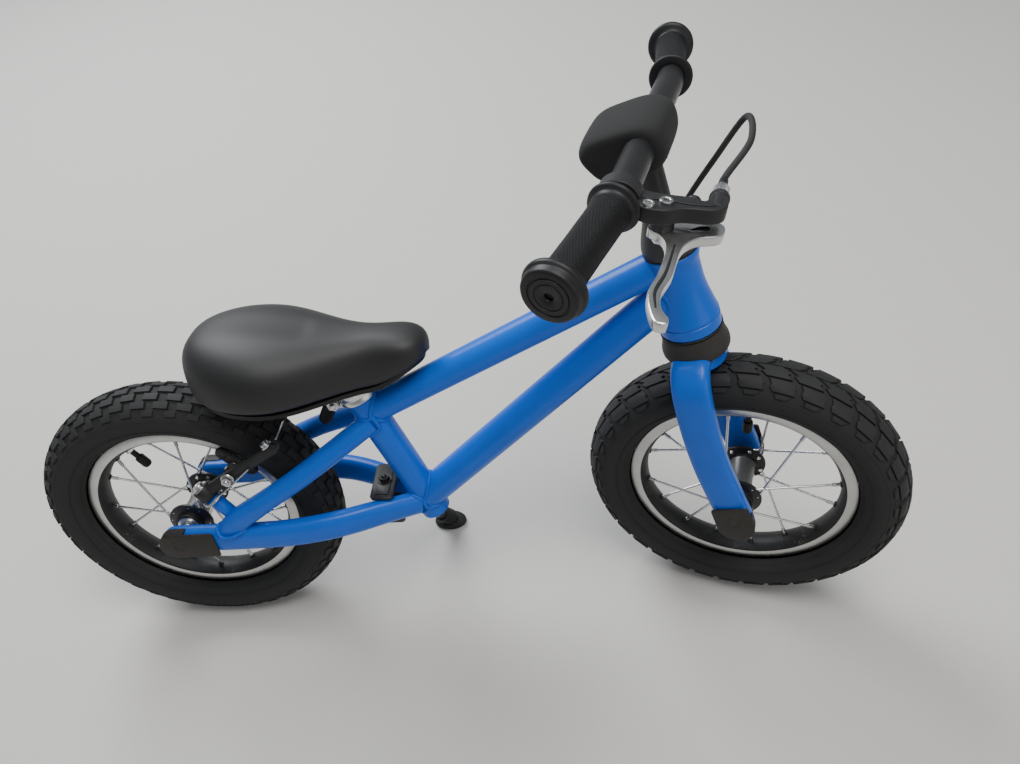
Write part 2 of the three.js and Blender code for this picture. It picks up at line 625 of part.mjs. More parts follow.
function seatClamp() {
  const low = onSeat(collarLow);
  const ring = straightTube(low, onSeat(collarHigh), 18.2, 18.2 - SEAT_TUBE_RADIUS - GAP, 20);
  const bolt = rod(ear.clone().setY(-12), ear.clone().setY(10), 3, 10);
  const ears = [-1, 1].map((side) => rod(ear.clone().setY(side * 2), ear.clone().setY(side * 8), 5.6, 14));
  const nut = rod(ear.clone().setY(-15), ear.clone().setY(-8.5), 6.4, 10);
  const slot = box(30, 3, 60, v(ear.x, 0, ear.z));
  return join(cut(join(ring, ...ears), slot), bolt, nut);
}

// The lever on the clamp's bolt, hanging down behind the seat tube. Its cam turns square to the bolt.
const camAxis = v(0.862, 0, -0.507).normalize();
const camCentre = ear.clone().setY(16);

function quickRelease() {
  const half = camAxis.clone().multiplyScalar(5);
  const cam = rod(camCentre.clone().sub(half), camCentre.clone().add(half), 5.3, 14);
  const at = (x, y, z) => camCentre.clone().add(v(x, y, z));
  const paddle = swept([at(0, 0, 0), at(-6, -1, -9), at(-14, -5, -22), at(-20, -8, -34)],
    section(5, 11, 10, 3), 8);
  return join(cam, paddle);
}

function seatPost() {
  return straightTube(onSeat(25), onSeat(161), POST_RADIUS, 2, 20);
}

const SADDLE = {
  back: 50, length: 220, low: 303, middle: 322, high: 368, // its back end, length and heights
  wide: 65, narrow: 24, widest: 0.33, waist: 0.82, // half-widths, and where they are along its length
};

// The saddle's half-width at a share of its length from the back.
function saddleHalfWidth(share) {
  const { wide, narrow, widest, waist } = SADDLE;
  if (share < widest) return wide * Math.sqrt(Math.max(0, 1 - ((share - widest) / widest) ** 2));
  const ease = THREE.MathUtils.smoothstep(share, widest, waist);
  const width = wide + (narrow - wide) * ease;
  return share < 0.88 ? width : width * Math.sqrt(Math.max(0, 1 - ((share - 0.88) / 0.12) ** 2));
}

// A rounded body with the saddle's outline, drawn in from it by an inset. Its back is higher than its nose
// by a dip, and its underside rises under the nose.
function saddleBody(inset, low, middle, high, dip, noseRise) {
  const ball = new THREE.SphereGeometry(1, 22, 12).rotateZ(-Math.PI / 2);
  const place = ball.attributes.position;
  const length = SADDLE.length - 2 * inset;
  const square = (value) => Math.sign(value) * Math.abs(value) ** 0.75;
  for (let i = 0; i < place.count; i += 1) {
    const [a, b, c] = [place.getX(i), place.getY(i), place.getZ(i)];
    const share = (a + 1) / 2;
    const girth = Math.hypot(b, c);
    const [across, upward] = girth < 1e-6 ? [0, 0] : [b / girth, c / girth];
    const half = Math.max(0, saddleHalfWidth(share) - inset);
    const taper = (1 - Math.abs(a) ** 8) ** 0.4;
    const lift = noseRise * THREE.MathUtils.smoothstep(share, 0.76, 1);
    const top = high - dip * THREE.MathUtils.smoothstep(share, 0.2, 0.75);
    const centre = Math.min(middle + 0.6 * lift, top - 4);
    const rise = upward > 0 ? top - centre : centre - low - lift;
    place.setXYZ(i, SADDLE.back + inset + length * share, half * square(across),
      centre + rise * square(upward) * taper);
  }
  return ball;
}

function saddle() {
  const top = saddleBody(0, SADDLE.low, SADDLE.middle, SADDLE.high, 19, 21);
  const hollow = saddleBody(6, SADDLE.low - 25, SADDLE.low - 6, SADDLE.middle, 0, 0);
  return cut(top, hollow);
}

function saddleBase() {
  const shell = saddleBody(6 + GAP, SADDLE.low - 25, SADDLE.low - 6, SADDLE.middle - 0.4, 0, 0);
  return keep(shell, box(150, 200, 40, v(126, 0, SADDLE.middle - 7 + 20)));
}

// Two rails under the saddle, joined at the front by their own bend.
function saddleRails() {
  const side = (y) => [v(80, y * 1.4, 309), v(104, y * 1.2, 303), v(134, y, 300), v(204, y, 300),
    v(221, y * 0.7, 301)];
  const back = side(16);
  const front = side(-16).reverse();
  return swept([...back, v(228, 0, 302), ...front], section(6, 6, 6), 26);
}

function saddleClamp() {
  const centre = onSeat(162.5);
  const barrel = rod(centre.clone().setY(-21), centre.clone().setY(21), 8.5, 14);
  const bolt = rod(centre.clone().setY(-24), centre.clone().setY(24), 5, 6);
  const rails = [-1, 1].map((side) => box(80, 8, 8, v(centre.x, side * 16, 300)));
  return cut(join(barrel, bolt), ...rails, rod(onSeat(20), onSeat(161.4), POST_RADIUS + GAP, 20));
}

add(leaned, 'seat_clamp', seatClamp(), alloy());
add(leaned, 'quick_release_lever', quickRelease(), black());
add(leaned, 'seat_post', seatPost(), steel());
add(leaned, 'saddle', saddle(), vinyl());
add(leaned, 'saddle_base', saddleBase(), plastic());
add(leaned, 'saddle_rails', saddleRails(), steel());
add(leaned, 'saddle_clamp', saddleClamp(), steel());

// ---- Kickstand ----
const standPivot = v(200, 30, 124);
const footPlace = v(240, 84, 28);

function standBracket() {
  const upper = box(24, 50, 3.6, v(200, 0, 170.8));
  const lower = box(28, 46, 14, v(200, 0, 128));
  const bolt = rod(v(200, 0, 122), v(200, 0, 176), 4, 12);
  const pin = rod(v(200, 20, 124), v(200, 39, 124), 4, 12);
  return join(upper, lower, bolt, pin);
}

function standLeg() {
  const eye = rod(v(200, 23.4, 124), v(200, 37, 124), 9.5, 16);
  const arm = swept([v(200, 31, 122), v(203, 36, 112), v(212, 48, 92), v(226, 66, 60), v(238.5, 82, 31.5)],
    section(13, 13, 10), 8);
  return cut(join(eye, arm), rod(v(200, 0, 124), v(200, 60, 124), 4.4, 12));
}

add(leaned, 'kickstand_bracket', standBracket(), black());
add(leaned, 'kickstand_leg', standLeg(), black());

// The foot's sole lies level on the ground under both tyres.
leaned.updateMatrixWorld(true);
const ground = new THREE.Box3().setFromObject(bike.getObjectByName('rear_tyre'), true).min.z;

function standFoot() {
  const sole = new THREE.Shape();
  sole.absellipse(0, 0, 19, 12, 0, 2 * Math.PI, false, 0);
  const settings = { depth: 7, bevelEnabled: false, curveSegments: 9 };
  const place = leaned.localToWorld(footPlace.clone());
  const pad = new THREE.ExtrudeGeometry(sole, settings).translate(place.x, place.y, ground);
  const bend = leaned.localToWorld(v(226, 66, 60));
  const leg = [bend, leaned.localToWorld(v(238.5, 82, 31.5))];
  const boot = rod(leg[1].clone().lerp(leg[0], 0.42), leg[1].clone().lerp(leg[0], -0.2), 9.5, 14);
  const socket = rod(leg[0], leg[1].clone().lerp(leg[0], -0.01), 6.5 + GAP, 14);
  return cut(join(pad, boot), socket);
}

add(bike, 'kickstand_foot', standFoot(), rubber());

// The origin is on the ground, under the middle of the whole bike.
bike.updateMatrixWorld(true);
const bounds = new THREE.Box3().setFromObject(bike, true);
const middle = bounds.getCenter(v(0, 0, 0));
bike.position.set(-middle.x, -middle.y, -bounds.min.z);

export default bike;
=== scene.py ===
"""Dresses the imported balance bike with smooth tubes, spoked wheels, tread, cockpit, brake, saddle and stand.

Lengths are in millimetres in a local frame until a piece is made, and local frames come from the joints.
"""
import json
import logging
import math
import random
from dataclasses import dataclass, field
from enum import Enum
from typing import Optional, Sequence, Union

import bmesh
import bpy
from mathutils import Matrix, Vector

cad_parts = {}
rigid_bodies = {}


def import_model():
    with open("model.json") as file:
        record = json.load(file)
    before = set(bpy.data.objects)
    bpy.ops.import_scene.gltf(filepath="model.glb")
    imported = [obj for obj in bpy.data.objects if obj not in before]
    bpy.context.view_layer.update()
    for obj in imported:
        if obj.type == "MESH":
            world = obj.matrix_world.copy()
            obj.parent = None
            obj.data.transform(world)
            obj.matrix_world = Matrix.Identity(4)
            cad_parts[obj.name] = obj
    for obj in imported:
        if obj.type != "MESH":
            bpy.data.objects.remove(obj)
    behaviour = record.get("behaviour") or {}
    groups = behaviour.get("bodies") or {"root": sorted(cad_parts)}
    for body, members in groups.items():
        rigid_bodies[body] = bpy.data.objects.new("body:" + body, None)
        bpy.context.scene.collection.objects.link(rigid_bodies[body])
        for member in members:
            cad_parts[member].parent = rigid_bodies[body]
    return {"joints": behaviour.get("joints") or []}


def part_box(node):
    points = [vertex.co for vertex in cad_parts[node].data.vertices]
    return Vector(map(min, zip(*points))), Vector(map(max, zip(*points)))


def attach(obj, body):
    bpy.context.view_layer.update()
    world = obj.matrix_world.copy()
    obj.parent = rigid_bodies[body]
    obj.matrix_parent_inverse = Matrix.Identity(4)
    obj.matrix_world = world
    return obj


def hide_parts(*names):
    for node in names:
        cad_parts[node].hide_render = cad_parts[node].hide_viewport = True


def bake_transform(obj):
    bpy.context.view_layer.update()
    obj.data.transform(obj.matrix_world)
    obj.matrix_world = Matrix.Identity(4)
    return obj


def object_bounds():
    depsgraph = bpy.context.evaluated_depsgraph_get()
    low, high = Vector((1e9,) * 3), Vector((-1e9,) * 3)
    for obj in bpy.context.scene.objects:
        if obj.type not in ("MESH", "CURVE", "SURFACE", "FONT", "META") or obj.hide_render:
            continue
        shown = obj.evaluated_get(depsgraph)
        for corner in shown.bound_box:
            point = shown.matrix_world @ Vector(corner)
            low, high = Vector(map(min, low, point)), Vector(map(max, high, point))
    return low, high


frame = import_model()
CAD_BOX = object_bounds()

LOG = logging.getLogger("balance_bike")
MM = 0.001
Pair = tuple[float, float]
Number = Union[float, int, "Wire"]


# ---------------------------------------------------------------- meshes
def vec(x: float, y: float, z: float) -> Vector:
    """A point in millimetres of a local frame."""
    return Vector((x, y, z))


def basis(origin: Vector, x: Vector, y: Vector, z: Vector) -> Matrix:
    """A frame's matrix from its origin in metres and its three axes."""
    return Matrix((
        (x.x, y.x, z.x, origin.x), (x.y, y.y, z.y, origin.y), (x.z, y.z, z.z, origin.z), (0, 0, 0, 1)))


def smoothstep(value: float, low: float, high: float) -> float:
    """Eases from 0 at low to 1 at high."""
    t = min(1.0, max(0.0, (value - low) / (high - low)))
    return t * t * (3 - 2 * t)


def mixed(a: float, b: float, t: float) -> float:
    """The number a share t of the way from a to b."""
    return a + (b - a) * t


def full_turn(steps: int) -> list[float]:
    """Evenly spread angles round a full turn, in radians."""
    return [2 * math.pi * k / steps for k in range(steps)]


def spline(points: Sequence[Vector], steps: int, closed: bool = False) -> list[Vector]:
    """Points along a centripetal Catmull-Rom curve.

    Args:
        points: the points that the curve passes through.
        steps: how many samples each stretch between two points gets.
        closed: whether the curve joins up with its start.

    Returns:
        The samples, with the last point included on an open curve.
    """
    n = len(points)
    found: list[Vector] = []
    for i in range(n if closed else n - 1):
        p1, p2 = points[i], points[(i + 1) % n]
        p0 = points[(i - 1) % n] if closed or i > 0 else p1 * 2 - p2
        p3 = points[(i + 2) % n] if closed or i + 2 < n else p2 * 2 - p1
        d0, d1, d2 = (max(1e-4, (b - a).length ** 0.5) for a, b in ((p0, p1), (p1, p2), (p2, p3)))
        m1 = ((p1 - p0) / d0 - (p2 - p0) / (d0 + d1) + (p2 - p1) / d1) * d1
        m2 = ((p2 - p1) / d1 - (p3 - p1) / (d1 + d2) + (p3 - p2) / d2) * d1
        for k in range(steps):
            t = k / steps
            found.append(p1 * (2 * t**3 - 3 * t**2 + 1) + m1 * (t**3 - 2 * t**2 + t)
                         + p2 * (3 * t**2 - 2 * t**3) + m2 * (t**3 - t**2))
    return found if closed else found + [points[-1].copy()]


def oval(width: float, height: float, sides: int = 24, power: float = 2.0) -> list[Pair]:
    """A rounded section: power 2 is an ellipse, and a higher power is squarer."""
    ring = []
    for i in range(sides):
        angle = 2 * math.pi * (i + 0.5) / sides
        c, s = math.cos(angle), math.sin(angle)
        ring.append((math.copysign(abs(c) ** (2 / power), c) * width / 2,
                     math.copysign(abs(s) ** (2 / power), s) * height / 2))
    return ring


@dataclass
class Shape:
    """A mesh in the making, in millimetres, with a finish number and texture places on each face."""

    points: list[Vector] = field(default_factory=list)
    faces: list[tuple[int, ...]] = field(default_factory=list)
    kinds: list[int] = field(default_factory=list)
    places: list[list[Pair]] = field(default_factory=list)

    def add(self, other: "Shape", matrix: Optional[Matrix] = None, kind: Optional[int] = None) -> "Shape":
        """Takes in another shape, moved by a matrix in millimetres.

        Args:
            other: the shape to take in.
            matrix: where it goes, or None to leave it where it is.
            kind: the finish number for all of it, or None to keep its own.

        Returns:
            This shape.
        """
        start = len(self.points)
        self.points += [matrix @ p if matrix else p.copy() for p in other.points]
        self.faces += [tuple(i + start for i in f) for f in other.faces]
        self.kinds += other.kinds if kind is None else [kind] * len(other.faces)
        self.places += other.places
        return self

    def sheet(self, rows: Sequence[Sequence[Vector]], around: bool = True,
              kinds: Optional[Sequence[int]] = None,
              ends: bool = False, loop: bool = False) -> "Shape":
        """Adds a surface through rows of points.

        Args:
            rows: rows with the same number of points.
            around: whether each row closes on itself.
            kinds: a finish number for each strip between two rows.
            ends: whether the first and last rows are closed with a face.
            loop: whether the last row joins the first.

        Returns:
            This shape.
        """
        start, n = len(self.points), len(rows[0])
        for row in rows:
            self.points += [p.copy() for p in row]
        run = 0.0
        for j in range(len(rows) if loop else len(rows) - 1):
            nxt = (j + 1) % len(rows)
            step = (rows[nxt][0] - rows[j][0]).length * MM
            for i in range(n if around else n - 1):
                k = (i + 1) % n
                self.faces.append((start + j * n + i, start + j * n + k, start + nxt * n + k,
                                   start + nxt * n + i))
                self.kinds.append(kinds[j] if kinds else 0)
                a, b = i / n, (i + 1) / n
                self.places.append([(a, run), (b, run), (b, run + step), (a, run + step)])
            run += step
        if ends:
            for j, order in ((0, -1), (len(rows) - 1, 1)):
                self.faces.append(tuple(start + j * n + i for i in range(n))[::order])
                self.kinds.append(kinds[min(j, len(kinds) - 1)] if kinds else 0)
                self.places.append([(0.0, 0.0)] * n)
        return self


def lathe(profile: Sequence[Pair], sides: int = 48, kinds: Optional[Sequence[int]] = None,
          hexed: Sequence[int] = (), loop: bool = False) -> Shape:
    """A turned shape about Z.

    Args:
        profile: (radius, height) pairs.
        sides: how many sides each ring has.
        kinds: a finish number for each strip of the profile.
        hexed: the places in the profile whose ring is a hexagon.
        loop: whether the profile closes on itself.

    Returns:
        The shape.
    """
    rows = []
    for index, (radius, height) in enumerate(profile):
        row = []
        for i in range(sides):
            angle = 2 * math.pi * i / sides
            r = radius
            if index in hexed:
                r *= math.cos(math.pi / 6) / math.cos((angle % (math.pi / 3)) - math.pi / 6)
            row.append(vec(r * math.cos(angle), r * math.sin(angle), height))
        rows.append(row)
    return Shape().sheet(rows, kinds=kinds, loop=loop)


def sweep(path: Sequence[Vector], sections: Sequence[Sequence[Pair]], side: Optional[Vector] = None,
          ends: bool = True, loop: bool = False) -> Shape:
    """Sections carried along a path.

    Args:
        path: the points that the middle follows.
        sections: one section for each point, or one for them all.
        side: what a section's first axis points towards, or None to carry it along without a twist.
        ends: whether the ends are closed.
        loop: whether the path closes on itself.

    Returns:
        The shape.
    """
    n = len(path)
    rows = []
    lead = side
    for i, middle in enumerate(path):
        before = path[i - 1] if i or loop else path[i]
        after = path[(i + 1) % n] if i + 1 < n or loop else path[i]
        along = (after - before).normalized()
        if lead is None:
            lead = along.orthogonal()
        first = (lead - along * lead.dot(along)).normalized()
        if side is None:
            lead = first
        second = along.cross(first)
        section = sections[i] if len(sections) > 1 else sections[0]
        rows.append([middle + first * a + second * b for a, b in section])
    return Shape().sheet(rows, ends=ends and not loop, loop=loop)


def rod(start: Vector, end: Vector, radius: float, sides: int = 16, round_end: float = 0.0) -> Shape:
    """A straight rod with its edges eased by round_end."""
    length = (end - start).length
    e = min(round_end, radius * 0.9)
    profile = [(0.0, 0.0), (radius - e, 0.0), (radius, e), (radius, length - e), (radius - e, length),
               (0.0, length)]
    return Shape().add(lathe(profile, sides), aimed(start, end - start))


def aimed(origin: Vector, along: Vector, up: Optional[Vector] = None) -> Matrix:
    """A matrix whose Z runs along a direction, with its X as near to up as it can be."""
    z = along.normalized()
    x = up if up is not None else z.orthogonal()
    x = (x - z * x.dot(z)).normalized()
    return basis(origin, x, z.cross(x), z)


def bolt_head(radius: float, height: float, sides: int = 36) -> Shape:
    """A round bolt head with a hexagonal socket, facing +Z from the origin."""
    return lathe([(0, 0), (radius, 0), (radius, height * 0.8), (radius * 0.9, height),
                  (radius * 0.62, height),
                  (radius * 0.55, height * 0.9), (radius * 0.55, height * 0.35), (0, height * 0.35)],
                 sides, hexed=(4, 5, 6))


def hex_nut(radius: float, height: float) -> Shape:
    """A hexagonal nut about Z from the origin, with a domed bolt end in it."""
    return lathe([(0, 0), (radius, 0), (radius, height * 0.85), (radius * 0.9, height),
                  (radius * 0.55, height),
                  (radius * 0.5, height * 1.35), (radius * 0.35, height * 1.5), (0, height * 1.5)],
                 36, hexed=(1, 2, 3))


def flat_piece(outline: Sequence[Pair], thickness: float, ease: float,
               holes: Sequence[Sequence[Pair]] = ()) -> Shape:
    """A plate in the XY plane about its middle, with rounded edges and real holes.

    Args:
        outline: the plate's outer corners.
        thickness: how thick it is along Z.
        ease: the radius of its rounded edges.
        holes: the outlines of its holes.

    Returns:
        The shape.
    """
    curve = bpy.data.curves.new("outline", "CURVE")
    curve.dimensions = "2D"
    curve.fill_mode = "BOTH"
    curve.extrude = thickness / 2 - ease
    curve.bevel_depth = ease
    curve.bevel_resolution = 2
    for number, ring in enumerate([outline, *holes]):
        inset = -ease if number else ease
        line = curve.splines.new("POLY")
        line.points.add(len(ring) - 1)
        area = sum(a[0] * b[1] - b[0] * a[1] for a, b in zip(ring, [*ring[1:], ring[0]]))
        for k, (x, y) in enumerate(ring):
            (px, py), (nx, ny) = ring[k - 1], ring[(k + 1) % len(ring)]
            dx, dy = nx - px, ny - py
            size = math.hypot(dx, dy) or 1.0
            turn = math.copysign(inset, area)
            line.points[k].co = (x - dy / size * turn, y + dx / size * turn, 0, 1)
        line.use_cyclic_u = True
    holder = bpy.data.objects.new("outline", curve)
    bpy.context.scene.collection.objects.link(holder)
    bpy.context.view_layer.update()
    mesh = bpy.data.meshes.new_from_object(holder.evaluated_get(bpy.context.evaluated_depsgraph_get()))
    made = Shape([v.co.copy() for v in mesh.vertices], [tuple(p.vertices) for p in mesh.polygons])
    made.kinds = [0] * len(made.faces)
    made.places = [[(made.points[i].x * MM, made.points[i].y * MM) for i in f] for f in made.faces]
    bpy.data.objects.remove(holder)
    bpy.data.curves.remove(curve)
    bpy.data.meshes.remove(mesh)
    return made


def rounded(points: Sequence[Pair], steps: int = 5) -> list[Pair]:
    """A closed outline through corners, smoothed into a curve."""
    return [(p.x, p.y) for p in spline([vec(x, y, 0) for x, y in points], steps, closed=True)]


def circle(x: float, y: float, radius: float, sides: int = 24) -> list[Pair]:
    """A round outline."""
    turns = full_turn(sides)
    return [(x + radius * math.cos(t), y + radius * math.sin(t)) for t in turns]


def weld_bead(starts: Sequence[Vector], along: Vector, origin: Vector, axis: Vector, radius: float,
              size: float = 2.2) -> Shape:
    """A rippled bead where a tube runs into a round one.

    Args:
        starts: points round the first tube's surface, in order.
        along: the way that tube runs into the other.
        origin: a point on the other tube's axis.
        axis: the other tube's direction.
        radius: the other tube's radius.
        size: the bead's own radius.

    Returns:
        The bead.
    """
    u, a = along.normalized(), axis.normalized()
    path = []
    for p in starts:
        d = p - origin
        dp, du = d - a * d.dot(a), u - a * u.dot(a)
        qa, qb, qc = du.dot(du), 2 * dp.dot(du), dp.dot(dp) - radius**2
        root = qb * qb - 4 * qa * qc
        path.append(p + u * ((-qb - math.sqrt(max(0.0, root))) / (2 * qa)))
    dense = spline(path, 5, closed=True)
    run, sections = 0.0, []
    for i, p in enumerate(dense):
        run += (p - dense[i - 1]).length
        swell = size * (0.86 + 0.16 * abs(math.sin(run * math.pi / 3.4)))
        sections.append(oval(2 * swell, 2 * swell, 8))
    return sweep(dense, sections, ends=False, loop=True)


class Studio:
    """Makes objects from shapes and hangs them on the bike's bodies."""

    made: dict[str, int] = {}

    @classmethod
    def piece(cls, name: str, shape: Shape, place: Matrix, body: Optional[str],
              finishes: Sequence["Finish"],
              replaces: Sequence[str] = (), smooth: int = 0, sharp: float = 40.0) -> bpy.types.Object:
        """Makes one object.

        Args:
            name: the object's name.
            shape: its mesh in millimetres of its own frame.
            place: that frame, in metres.
            body: the body that it rides on, or None for a piece that rides on no body.
            finishes: its finishes, in the order of the shape's finish numbers.
            replaces: the nodes that it stands for.
            smooth: how many levels of subdivision it gets.
            sharp: the angle in degrees above which an edge stays crisp.

        Returns:
            The object.
        """
        mesh = bpy.data.meshes.new(name)
        mesh.from_pydata([p * MM for p in shape.points], [], shape.faces)
        layer = mesh.uv_layers.new(name="UVMap")
        layer.data.foreach_set("uv", [c for ring in shape.places for uv in ring for c in uv])
        for finish in finishes:
            mesh.materials.append(finish.material())
        mesh.polygons.foreach_set("material_index", shape.kinds)
        mesh.polygons.foreach_set("use_smooth", [True] * len(mesh.polygons))
        thing = bpy.data.objects.new(name, mesh)
        bpy.context.scene.collection.objects.link(thing)
        cls.clean(mesh)
        if not smooth:
            mesh.set_sharp_from_angle(angle=math.radians(sharp))
        else:
            grow = thing.modifiers.new("smooth", "SUBSURF")
            grow.levels = grow.render_levels = smooth
        thing.matrix_world = place
        if body:
            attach(thing, body)
        if replaces:
            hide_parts(*replaces)
        cls.made[name] = len(mesh.polygons)
        LOG.info("%s: %d faces", name, len(mesh.polygons))
        return thing

    @staticmethod
    def clean(mesh: bpy.types.Mesh) -> None:
        """Merges points that lie together and turns the faces outwards."""
        work = bmesh.new()
        work.from_mesh(mesh)
        bmesh.ops.remove_doubles(work, verts=work.verts, dist=2e-6)
        bmesh.ops.dissolve_degenerate(work, edges=work.edges, dist=1e-6)
        bmesh.ops.recalc_face_normals(work, faces=work.faces)
        work.to_mesh(mesh)
        work.free()


# ---------------------------------------------------------------- finishes
class Wire:
    """A number in a shader tree that adds Math nodes when it is used in an expression."""

    def __init__(self, tree: "Tree", socket: bpy.types.NodeSocket) -> None:
        """Wraps one output socket of a tree."""
        self.tree = tree
        self.socket = socket

    def math(self, operation: str, *values: Number) -> "Wire":
        """Adds one Math node on the given values."""
        made = self.tree.node("ShaderNodeMath", {"operation": operation}, dict(enumerate(values)))
        return Wire(self.tree, made.outputs[0])

    def __add__(self, other: Number) -> "Wire":
        """Adds."""
        return self.math("ADD", self, other)

    __radd__ = __add__

    def __mul__(self, other: Number) -> "Wire":
        """Multiplies."""
        return self.math("MULTIPLY", self, other)

    __rmul__ = __mul__

    def __sub__(self, other: Number) -> "Wire":
        """Subtracts."""
        return self.math("SUBTRACT", self, other)

    def __rsub__(self, other: Number) -> "Wire":
        """Subtracts this from another value."""
        return self.math("SUBTRACT", other, self)

    def __truediv__(self, other: Number) -> "Wire":
        """Divides."""
        return self.math("DIVIDE", self, other)

    def __pow__(self, other: Number) -> "Wire":
        """Raises to a power."""
        return self.math("POWER", self, other)

    def sine(self) -> "Wire":
        """The sine."""
        return self.math("SINE", self)

    def size(self) -> "Wire":
        """The value without its sign."""
        return self.math("ABSOLUTE", self)

    def fade(self, low: float, high: float) -> "Wire":
        """Goes smoothly from 0 at low to 1 at high, or the other way where low is above high."""
        made = self.tree.node("ShaderNodeMapRange", {"interpolation_type": "SMOOTHSTEP"},
                              {0: self, 1: min(low, high), 2: max(low, high)})
        eased = Wire(self.tree, made.outputs[0])
        return eased if low < high else 1 - eased


class Tree:
    """One material's node tree around a Principled shader."""

    def __init__(self, name: str) -> None:
        """Starts a material with that name."""
        self.material = bpy.data.materials.new(name)
        self.material.use_nodes = True
        self.nodes = self.material.node_tree.nodes
        self.shader = self.nodes["Principled BSDF"]

    def node(self, kind: str, settings: dict[str, object],
             inputs: dict[Union[int, str], object]) -> bpy.types.Node:
        """Adds a node.

        Args:
            kind: the node's type.
            settings: its own settings, with a ramp's stops under "stops".
            inputs: the value or link of each input socket, by its name or its place.

        Returns:
            The node.
        """
        made = self.nodes.new(kind)
        for key, value in settings.items():
            if key == "stops":
                ramp = made.color_ramp
                for spot, shade in value:
                    stop = ramp.elements.new(spot)
                    stop.color = (*shade, 1.0)
                ramp.elements.remove(ramp.elements[0])
                ramp.elements.remove(ramp.elements[-1])
            else:
                setattr(made, key, value)
        for key, value in inputs.items():
            self.feed(made.inputs[key], value)
        return made

    def feed(self, socket: bpy.types.NodeSocket, value: object) -> None:
        """Links a socket to a wire or an output, or sets its value."""
        source = value.socket if isinstance(value, Wire) else value
        if isinstance(source, bpy.types.NodeSocket):
            self.material.node_tree.links.new(source, socket)
        elif socket.type == "RGBA" and len(source) == 3:
            socket.default_value = (*source, 1.0)
        else:
            socket.default_value = source

    def place(self, surface: bool = False) -> bpy.types.NodeSocket:
        """The piece's own coordinates in metres, or its texture coordinates."""
        return self.node("ShaderNodeTexCoord", {}, {}).outputs["UV" if surface else "Object"]

    def parts(self, vector: object) -> tuple[Wire, Wire, Wire]:
        """A vector's three numbers."""
        made = self.node("ShaderNodeSeparateXYZ", {}, {0: vector})
        return tuple(Wire(self, s) for s in made.outputs)

    def noise(self, scale: float, detail: float = 3.0, rough: float = 0.55, vector: object = None) -> Wire:
        """Soft noise from 0 to 1, of a scale in cycles a metre."""
        made = self.node("ShaderNodeTexNoise", {}, {"Vector": vector or self.place(), "Scale": scale,
                                                    "Detail": detail, "Roughness": rough})
        return Wire(self, made.outputs[0])

    def cells(self, scale: float, feature: str = "F1", vector: object = None) -> Wire:
        """The distance to scattered points, of a scale in cells a metre."""
        made = self.node("ShaderNodeTexVoronoi", {"feature": feature}, {"Vector": vector or self.place(),
                                                                       "Scale": scale})
        return Wire(self, made.outputs["Distance"])

    def blend(self, share: object, first: object, second: object) -> bpy.types.NodeSocket:
        """A colour between two colours."""
        made = self.node("ShaderNodeMix", {"data_type": "RGBA"}, {0: share, 6: first, 7: second})
        return made.outputs[2]

    def bump(self, height: Wire, depth: float, before: object = None) -> bpy.types.NodeSocket:
        """A normal that is raised by a height of 0 to 1, times a depth in metres."""
        inputs = {"Height": height, "Distance": depth, "Strength": 1.0}
        if before is not None:
            inputs["Normal"] = before
        return self.node("ShaderNodeBump", {}, inputs).outputs[0]


class Grain(Enum):
    """The fine surface that a finish has."""

    FINE = "fine"
    ORANGE_PEEL = "orange peel"
    MOULDED = "moulded"
    LEATHER = "leather"
    TURNED = "turned"
    ALONG = "along"
    HATCH = "hatch"
    KNURL = "knurl"
    THREAD = "thread"


